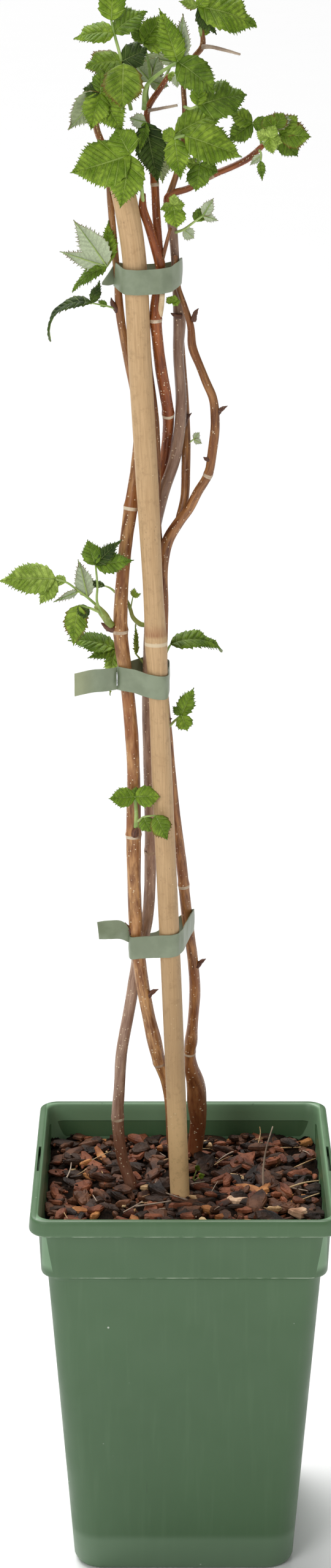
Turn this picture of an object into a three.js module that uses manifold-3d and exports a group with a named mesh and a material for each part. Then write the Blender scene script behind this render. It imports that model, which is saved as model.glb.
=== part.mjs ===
// A raspberry plant in a square nursery pot: woody canes tied to a bamboo stake, with spring leaves.
// Millimetres, +Z up, origin at the centre of the pot's underside. The viewer stands on -Y, +X is to the right.
import * as THREE from "three";
import { mergeVertices } from "three/addons/utils/BufferGeometryUtils.js";
import Module from "manifold-3d";

const wasm = await Module();
wasm.setup();

// ---- driving sizes ----
const GAP = 0.3;
const TIDY = 0.03;
const RIM_HALF = 75;
const RIM_Z = 200;
const SKIRT_Z = 191.4;
const COLLAR_HALF = 70.6;
const COLLAR_BOTTOM_HALF = 69.6;
const COLLAR_Z = 168;
const BODY_TOP_HALF = 66.4;
const BASE_HALF = 54.6;
const WALL = 1.4;
const RIM_LIP = 3.4;
const FLOOR = 2.4;
const MULCH_TOP = 184;
const COMPOST_TOP = 172;
const STAKE_SIDES = 10;
const CANE_SIDES = 6;
const LEAF_THICK = 0.7;
const TAPE_THICK = 0.8;
const TAPE_TALL = 11.2;

// ---- small helpers ----
const rad = (degrees) => (degrees * Math.PI) / 180;
const vec = (p) => new THREE.Vector3(p[0], p[1], p[2]);
const lerp = (a, b, t) => a + (b - a) * t;

function solidFrom(positions, indices) {
  const geometry = new THREE.BufferGeometry();
  geometry.setAttribute("position", new THREE.Float32BufferAttribute(positions, 3));
  geometry.setIndex(indices);
  return solidOf(geometry);
}

function solidOf(geometry) {
  const bare = new THREE.BufferGeometry();
  bare.setAttribute("position", geometry.getAttribute("position"));
  bare.setIndex(geometry.index);
  const merged = mergeVertices(bare, 1e-4);
  const made = new wasm.Manifold(
    new wasm.Mesh({
      numProp: 3,
      vertProperties: new Float32Array(merged.attributes.position.array),
      triVerts: new Uint32Array(merged.index.array),
    }),
  );
  return made;
}

function largestOf(solid) {
  const bodies = solid.decompose();
  bodies.sort((a, b) => b.volume() - a.volume());
  return bodies[0];
}

function joined(solids) {
  return solids.reduce((sum, next) => sum.add(next));
}

function touching(a, b) {
  const p = a.boundingBox();
  const q = b.boundingBox();
  return [0, 1, 2].every((k) => p.min[k] < q.max[k] && q.min[k] < p.max[k]);
}

// A stack of closed rings with the same count, capped at both ends.
function ringsSolid(rings) {
  const n = rings[0].length;
  const positions = rings.flat(2);
  const indices = [];
  for (let k = 0; k + 1 < rings.length; k++)
    for (let i = 0; i < n; i++) {
      const j = (i + 1) % n;
      const a = k * n + i;
      const b = k * n + j;
      indices.push(a, b, b + n, a, b + n, a + n);
    }
  const last = (rings.length - 1) * n;
  for (let i = 1; i + 1 < n; i++) {
    indices.push(0, i + 1, i);
    indices.push(last, last + i, last + i + 1);
  }
  return solidFrom(positions, indices);
}

// A round rod along a line of [x, y, z, radius] stations.
function rod(stations, sides, grow = 0) {
  const points = stations.map(vec);
  const rings = [];
  let side = new THREE.Vector3(1, 0, 0);
  points.forEach((p, i) => {
    const before = points[Math.max(i - 1, 0)];
    const after = points[Math.min(i + 1, points.length - 1)];
    const along = after.clone().sub(before).normalize();
    side = side.clone().sub(along.clone().multiplyScalar(side.dot(along))).normalize();
    const up = along.clone().cross(side);
    const r = stations[i][3] + grow;
    const ring = [];
    for (let k = 0; k < sides; k++) {
      const a = (2 * Math.PI * k) / sides;
      const q = p.clone().addScaledVector(side, r * Math.cos(a)).addScaledVector(up, r * Math.sin(a));
      ring.push([q.x, q.y, q.z]);
    }
    rings.push(ring);
  });
  return ringsSolid(rings);
}

// The outline of a rounded square, from the corner at +X +Y round to the left.
function roundedSquare(half, radius, z, steps = 4) {
  const ring = [];
  const centre = half - radius;
  for (let corner = 0; corner < 4; corner++) {
    const cx = [1, -1, -1, 1][corner] * centre;
    const cy = [1, 1, -1, -1][corner] * centre;
    for (let k = 0; k <= steps; k++) {
      const a = rad(90 * corner + (90 * k) / steps);
      ring.push([cx + radius * Math.cos(a), cy + radius * Math.sin(a), z]);
    }
  }
  return ring;
}

// ---- the pot ----
const POT_OUTSIDE = [
  [BASE_HALF, 14, 0],
  [BASE_HALF + 0.7, 14, 3],
  [BODY_TOP_HALF, 9, COLLAR_Z - 3],
  [COLLAR_BOTTOM_HALF - 1.8, 9.5, COLLAR_Z - 0.8],
  [COLLAR_BOTTOM_HALF, 10, COLLAR_Z + 2.4],
  [COLLAR_HALF, 9, SKIRT_Z],
  [RIM_HALF - 0.8, 9.5, SKIRT_Z + 0.3],
  [RIM_HALF, 9.5, SKIRT_Z + 2],
  [RIM_HALF - 0.5, 9, RIM_Z - 1.2],
  [RIM_HALF - 1.6, 8.5, RIM_Z],
];
const INNER_TOP_HALF = RIM_HALF - RIM_LIP - 1.2;
const INNER_COLLAR_HALF = COLLAR_BOTTOM_HALF - WALL;
const INNER_BODY_HALF = BODY_TOP_HALF - WALL;
const INNER_BASE_HALF = BASE_HALF - WALL;

function cavity(inset, bottom, top) {
  const levels = [
    [INNER_BASE_HALF, 12.5, FLOOR],
    [INNER_BODY_HALF, 8, COLLAR_Z - 3],
    [INNER_COLLAR_HALF, 8, COLLAR_Z + 2.4],
    [INNER_TOP_HALF, 7, RIM_Z + 1],
  ];
  const halfAt = (z, column) => {
    const k = levels.findIndex((level, i) => i > 0 && z <= level[2]);
    const [low, high] = [levels[k - 1], levels[k]];
    return lerp(low[column], high[column], (z - low[2]) / (high[2] - low[2]));
  };
  const heights = [bottom, ...levels.map((level) => level[2]).filter((z) => z > bottom && z < top), top];
  return ringsSolid(heights.map((z) => roundedSquare(halfAt(z, 0) - inset, halfAt(z, 1), z)));
}

function boxSolid(x, y, z, cx, cy, cz) {
  return wasm.Manifold.cube([x, y, z], true).translate([cx, cy, cz]);
}

function potSolid() {
  let pot = ringsSolid(POT_OUTSIDE.map(([half, radius, z]) => roundedSquare(half, radius, z)));
  pot = pot.subtract(cavity(0, FLOOR, RIM_Z + 1));
  for (const side of [-1, 1]) pot = pot.subtract(boxSolid(1.3, 30, 9, side * 72.6, 0, RIM_Z - 0.5));
  for (const a of [45, 135, 225, 315]) {
    const hole = wasm.Manifold.cylinder(10, 5, 5, 10, true);
    pot = pot.subtract(hole.translate([34 * Math.cos(rad(a)), 34 * Math.sin(rad(a)), 0]));
  }
  return pot;
}

// ---- stake and canes: [x, y, z, radius] stations ----
const STAKE = [
  [3.5, -8, 40, 4.8],
  [-1.9, -8, 182, 4.85],
  [-6.4, -8, 300, 4.95],
  [-10.8, -8, 400, 5.0],
  [-13.4, -8, 462, 5.1],
  [-13.7, -8, 468, 5.4],
  [-14, -8, 474, 5.15],
  [-18, -8, 550, 5.25],
  [-20.9, -8, 600, 5.35],
  [-25, -8, 662, 5.45],
  [-30.5, -8, 690, 5.5],
];

const MAIN_CANE = [
  [-3, 10, 150, 3.4],
  [-5, 8, 205, 3.4],
  [-9, 5, 242, 3.3],
  [-12.2, 4, 250.5, 3.2],
  [-14.1, 3, 259, 3.6],
  [-18.6, 2, 281, 3.2],
  [-21.6, 0, 301, 3.3],
  [-23.6, -2, 322, 3.4],
  [-24.5, -3, 345, 3.3],
  [-24.7, -3, 372, 3.6],
  [-24.6, -3, 402, 3.2],
  [-26.1, -3, 431, 3.2],
  [-28.1, -3, 451, 3.2],
  [-30.6, -3, 474, 3.5],
  [-30.2, -3, 489, 3.2],
  [-27.7, -2, 517, 3.0],
  [-25.4, -0.5, 533, 3.2],
  [-23.2, 1, 551, 2.4],
  [-22, 1.2, 570, 2.1],
  [-23.2, 0.8, 585, 2.0],
  [-25.7, -0.5, 598, 2.0],
  [-28, -2, 610, 1.9],
  [-30.3, -3.5, 626, 2.0],
  [-31.2, -3.6, 640, 1.6],
  [-32.6, -3.8, 655, 1.6],
  [-34, -2, 672, 1.6],
  [-36.2, -0.5, 696, 1.6],
  [-40.6, -2, 709, 1.5],
  [-38.6, -7, 723, 1.1],
];

const LEFT_CANE = [
  [-22, 4, 150, 3.0],
  [-26.2, 4, 182, 3.0],
  [-31, 6, 198, 2.9],
  [-33.2, 6, 220, 3.0],
  [-32.3, 6, 236, 2.8],
  [-31.3, 6, 253, 2.9],
  [-27.2, 7, 277, 2.9],
  [-22.8, 8.5, 303, 2.9],
  [-18.3, 8.5, 324, 2.9],
  [-16.6, 8, 360, 2.8],
  [-17, 8, 394, 2.7],
  [-17.9, 8, 433, 2.6],
  [-16.5, 8, 480, 2.6],
  [-14.2, 8, 520, 2.7],
  [-9.5, 8, 540, 2.7],
  [-5.2, 7.5, 553, 2.7],
  [-2.9, 7, 565, 2.7],
  [-1.9, 7, 580, 2.6],
  [-3.2, 7, 605, 2.5],
  [-2.8, 7, 621, 2.9],
  [-4, 7, 634, 2.0],
  [-5.2, 6, 654, 2.0],
  [-6.6, 5, 668, 2.3],
];

const RED_BRANCH = [
  [-16.5, 8.5, 482, 2.3],
  [-15.5, 14, 505, 2.4],
  [-13.2, 15, 530, 2.5],
  [-10.5, 14.5, 547, 2.6],
  [-8.4, 12.5, 562, 2.6],
  [-8, 7, 576, 2.7],
  [-9.3, 2, 586, 2.8],
  [-11.4, -2, 599, 2.7],
  [-13, -4, 613, 2.6],
  [-13.8, -5, 622, 2.8],
  [-12.9, -5, 634, 2.5],
  [-11.4, -4.8, 645, 2.5],
];
const TOP_FORK_LEFT = [
  [-11.4, -4.8, 645, 2.2],
  [-14.3, -5.5, 656, 2.1],
  [-17, -6, 665, 2.0],
  [-19.6, -6, 673, 1.9],
  [-19.4, -6, 679, 1.2],
];
const TOP_FORK_RIGHT = [
  [-11.2, -4.6, 645, 2.1],
  [-12.2, -2.5, 653, 2.0],
  [-13.3, -1, 667, 1.9],
  [-14.2, 1, 683, 1.8],
  [-16.6, 3, 702, 1.6],
  [-17.2, 3, 716, 1.4],
  [-11.6, 3, 725, 1.3],
  [-7.6, 3, 731, 1.0],
];
const HAIRY_TWIG = [
  [-11, -4.4, 648, 1.0],
  [-8.8, -3, 656, 0.9],
  [-6.9, -2, 663, 0.8],
];
const CUT_STUB = [
  [-11.9, -5.6, 623.4, 1.3],
  [-11.1, -7.4, 629, 1.3],
  [-10.7, -8, 634, 1.2],
];
const RIGHT_LATERAL = [
  [-6.6, 5, 668, 2.2],
  [-8.2, 4.5, 676, 1.8],
  [2, 4, 680.5, 1.5],
  [11.4, 3.5, 686, 1.5],
  [21, 3, 690, 1.5],
  [28.6, 2, 694, 1.5],
  [35.2, 1, 700, 1.2],
];
const TOP_STEM = [
  [-7.8, 4.6, 676, 1.6],
  [-3.2, 5, 690, 1.4],
  [-0.6, 5, 706, 1.3],
  [-0.5, 4, 716, 1.2],
  [-0.8, 4, 728, 1.2],
  [3, 5, 738, 1.2],
  [7.4, 5, 743.5, 1.3],
  [7, 5, 752, 0.9],
];

const RIGHT_CANE = [
  [5, 40, 150, 3.6],
  [6, 40, 188, 3.8],
  [7.4, 38, 205, 4.3],
  [6.8, 36, 214, 4.9],
  [6, 34, 227, 4.7],
  [3.6, 31, 237, 3.6],
  [3, 29, 246, 2.8],
  [3.6, 27, 252, 3.3],
  [4.2, 25, 260, 2.8],
  [5.4, 20, 284, 2.8],
  [4.6, 17, 297, 2.7],
  [1.2, 12, 326, 2.7],
  [-1.4, 8.5, 353, 2.6],
  [-4.4, 5, 378, 2.5],
  [-7.8, 3.5, 415, 2.4],
  [-10.4, 3.6, 450, 2.2],
  [-10, 3, 485, 2.2],
  [-9.8, 3, 506, 2.2],
  [-8.4, 3, 515, 2.7],
  [-2.6, 2, 525.5, 2.5],
  [1.6, 0, 531.5, 2.3],
  [6.1, -2, 540.5, 2.2],
  [10.8, -3, 549, 2.1],
  [12.7, -3, 560, 2.2],
  [13.9, -3, 575, 2.1],
  [12.8, -3, 585, 2.0],
  [9.8, -3, 592, 2.0],
  [6.4, -2.5, 600.5, 1.9],
  [3.4, -1.5, 608, 2.0],
  [2.4, -0.5, 618, 1.6],
  [-0.4, 0.5, 627, 1.4],
  [-3.4, 0.8, 636, 1.2],
  [-4.6, 0.6, 650, 1.1],
];
const INNER_ARM = [
  [-2.2, 2.4, 527, 2.2],
  [-0.2, 5, 536, 2.1],
  [0.4, 8, 547, 2.1],
  [0.5, 11.5, 560, 2.2],
  [0.2, 12.6, 575, 1.9],
  [-1.4, 13, 600, 1.7],
  [-3.8, 13, 632, 1.4],
];
const SIDE_STRIP = [
  [-9.9, 3.4, 500, 1.7],
  [-12.6, 4.6, 520, 1.7],
  [-13, 5, 548, 1.7],
  [-13.8, 5, 572, 1.7],
  [-17, 5, 600, 1.6],
  [-19, 4.6, 634, 1.4],
];

// Small cones on the canes: [x, y, z, direction from +Z clockwise in degrees, toward the viewer, length, radius]
const MAIN_BUDS = [
  [-18.6, 0.5, 286, 50, 10, 8, 1.3],
  [-26, -3, 322, -30, 10, 6, 1.3],
  [-32, -3, 474, -62, 15, 9, 1.8],
  [-23.8, -6, 373, 14, 30, 5, 1.6],
  [-31.4, -4, 626, -25, 20, 7, 1.2],
];
const RIGHT_BUDS = [
  [6.8, 16, 297, 45, 10, 6, 1.1],
  [14.4, -3, 577, 50, 10, 7, 1.1],
  [3.8, -1.5, 621, 22, 10, 6, 1.1],
  [11, -4, 556, -60, 10, 3, 0.9],
  [-9, 0.5, 428, 60, 30, 4, 1.0],
];
const LEFT_BUDS = [
  [-0.6, 9, 570, 35, -20, 7, 1.0],
  [-2.4, 3.6, 622, -70, 20, 5, 1.1],
  [-16.4, 6, 360, -80, 0, 3, 0.8],
];

function budSolid([x, y, z, angle, lean, length, radius], grow = 0) {
  const d = headingOf(angle, lean);
  const p = vec([x, y, z]);
  const stations = [
    [0, radius],
    [0.45, radius * 1.05],
    [1, radius * 0.25],
  ];
  return rod(
    stations.map(([t, r]) => {
      const q = p.clone().addScaledVector(d, t * (length + grow));
      return [q.x, q.y, q.z, r];
    }),
    5,
    grow,
  );
}

// ---- tying tapes ----
// Each loop: [x, y, z] points along the middle of the tape. Each tail: [x, y, z, tallness].
const TAPES = [
  {
    name: "tie_top",
    loop: [
      [-33, -3, 642.6],
      [-30.4, -10, 641.2],
      [-28, -14, 640],
      [-22, -15.4, 639.8],
      [-12, -12.4, 640],
      [-6.5, -8.4, 640.4],
      [-3.2, -2.4, 642],
      [-1.7, 3, 643],
      [-1.7, 10, 642.4],
      [-4, 15.2, 640.5],
      [-9, 15.4, 639.2],
      [-24, 6, 639.5],
      [-32.4, 1, 641.6],
    ],
    tail: [[-33, -3, 642.4, 9.6], [-35.4, -5, 640.4, 6.4], [-38.2, -6.6, 638.4, 1.2]],
  },
  {
    name: "tie_middle",
    loop: [
      [-32.4, -5.6, 451],
      [-30.4, -8, 451.2],
      [-24, -9.4, 450.4],
      [-17.4, -13, 449],
      [-13, -14.4, 448.4],
      [-9.4, -13.2, 448],
      [-7.7, -9.4, 447.8],
      [-7.3, -2, 449.5],
      [-7.4, 5, 451.4],
      [-11.6, 11.4, 452.3],
      [-19.6, 11.6, 451.4],
      [-31.6, 1.6, 449.8],
    ],
    tail: [[-32.4, -5.6, 451, 10.8], [-34.4, -7.4, 451, 11], [-44, -9, 450.4, 11.2], [-52.4, -10.6, 449, 11.2]],
  },
  {
    name: "tie_lower",
    loop: [
      [-27, -3.4, 314.6],
      [-26, -6.6, 314.4],
      [-22, -7.6, 315.2],
      [-12, -13, 317.7],
      [-6.6, -14.2, 318.2],
      [-2.9, -12, 318.4],
      [-0.8, -7.6, 319],
      [3.7, 8, 322.4],
      [4.9, 13, 322.6],
      [1, 17, 319.6],
      [-14, 14.6, 309.6],
      [-24.4, 10.4, 309.4],
      [-27.2, 3, 312],
    ],
    tail: [[-27, -3.4, 319.6, 6.4], [-31, -6.4, 324, 10], [-36, -8.6, 325, 12], [-42, -8.4, 324.4, 12.4]],
  },
];

// A strip of tape through [x, y, z, tallness] stations; closed strips run round to their first station.
function strip(stations, closed, grow = 0) {
  const n = stations.length;
  const half = TAPE_THICK / 2 + grow;
  const positions = [];
  stations.forEach(([x, y, z, tall], i) => {
    const before = stations[closed ? (i + n - 1) % n : Math.max(i - 1, 0)];
    const after = stations[closed ? (i + 1) % n : Math.min(i + 1, n - 1)];
    const tx = after[0] - before[0];
    const ty = after[1] - before[1];
    const size = Math.hypot(tx, ty);
    const ox = (ty / size) * half;
    const oy = (-tx / size) * half;
    for (const [s, v] of [[1, -1], [1, 1], [-1, 1], [-1, -1]])
      positions.push(x + s * ox, y + s * oy, z + v * (tall / 2 + grow));
  });
  const indices = [];
  for (let i = 0; i < (closed ? n : n - 1); i++)
    for (let k = 0; k < 4; k++) {
      const a = 4 * i + k;
      const b = 4 * i + ((k + 1) % 4);
      const c = 4 * ((i + 1) % n) + ((k + 1) % 4);
      const d = 4 * ((i + 1) % n) + k;
      indices.push(a, c, b, a, d, c);
    }
  if (!closed) {
    const e = 4 * (n - 1);
    indices.push(0, 1, 2, 0, 2, 3, e, e + 2, e + 1, e, e + 3, e + 2);
  }
  const made = solidFrom(positions, indices);
  return made.volume() < 0 ? solidFrom(positions, indices.slice().reverse()) : made;
}

function tapeSolid({ loop, tail }, grow = 0) {
  const band = loop.map((station) => [...station, TAPE_TALL]);
  return strip(band, true, grow).add(strip(tail, false, grow));
}

// ---- leaves ----
// A direction in the upright plane facing the viewer, clockwise from +Z, tipped toward the viewer by `lean`.
function headingOf(angle, lean) {
  const a = rad(angle);
  const e = rad(lean);
  return new THREE.Vector3(Math.sin(a) * Math.cos(e), -Math.sin(e), Math.cos(a) * Math.cos(e));
}

// The way a blade's upper side faces: tilt 0 is at the viewer, 90 is up, 180 is away; turn swings it to the right.
function facingOf(along, tilt, turn) {
  const t = rad(tilt);
  const q = rad(turn);
  const f = new THREE.Vector3(Math.sin(q), -Math.cos(q) * Math.cos(t), Math.cos(q) * Math.sin(t));
  f.addScaledVector(along, -f.dot(along));
  return f.normalize();
}

// Half width of a leaflet along its length.
const BLADE_STATIONS = [
  [0, 0.18],
  [0.3, 0.98],
  [0.7, 0.72],
  [1, 0.06],
];

function bladeSolid(base, [, angle, length, half, lean, tilt, turn, fold, curl], grow = 0) {
  const along = headingOf(angle, lean);
  const face = facingOf(along, tilt, turn);
  const across = along.clone().cross(face);
  const bend = rad(curl) || 1e-4;
  const f = rad(fold);
  const thick = LEAF_THICK / 2 + grow;
  const rings = BLADE_STATIONS.map(([u, share], k) => {
    const reach = k === 0 ? -grow : k === BLADE_STATIONS.length - 1 ? length + grow : u * length;
    const a = (bend * reach) / length;
    const r = length / bend;
    const spine = base.clone().addScaledVector(along, r * Math.sin(a)).addScaledVector(face, -r * (1 - Math.cos(a)));
    const normal = face.clone().multiplyScalar(Math.cos(a)).addScaledVector(along, Math.sin(a));
    const w = share * half + grow;
    const point = (s, side) => {
      const q = spine.clone();
      q.addScaledVector(across, s * w * Math.cos(f));
      q.addScaledVector(normal, Math.abs(s) * w * Math.sin(f) + side * thick);
      return [q.x, q.y, q.z];
    };
    return [point(-1, 1), point(0, 1), point(1, 1), point(1, -1), point(0, -1), point(-1, -1)];
  });
  return bladeRings(rings);
}

// Six-point rings (three on top, three below) joined into one thin blade.
function bladeRings(rings) {
  const indices = [];
  const count = rings.length;
  for (let k = 0; k + 1 < count; k++)
    for (let i = 0; i < 6; i++) {
      const a = 6 * k + i;
      const b = 6 * k + ((i + 1) % 6);
      indices.push(a, b + 6, b, a, a + 6, b + 6);
    }
  const e = 6 * (count - 1);
  for (const [i, j, k, l] of [[0, 1, 4, 5], [1, 2, 3, 4]]) {
    indices.push(i, j, k, i, k, l);
    indices.push(e + i, e + k, e + j, e + i, e + l, e + k);
  }
  const made = solidFrom(rings.flat(2), indices);
  return made.volume() < 0 ? solidFrom(rings.flat(2), indices.slice().reverse()) : made;
}

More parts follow.
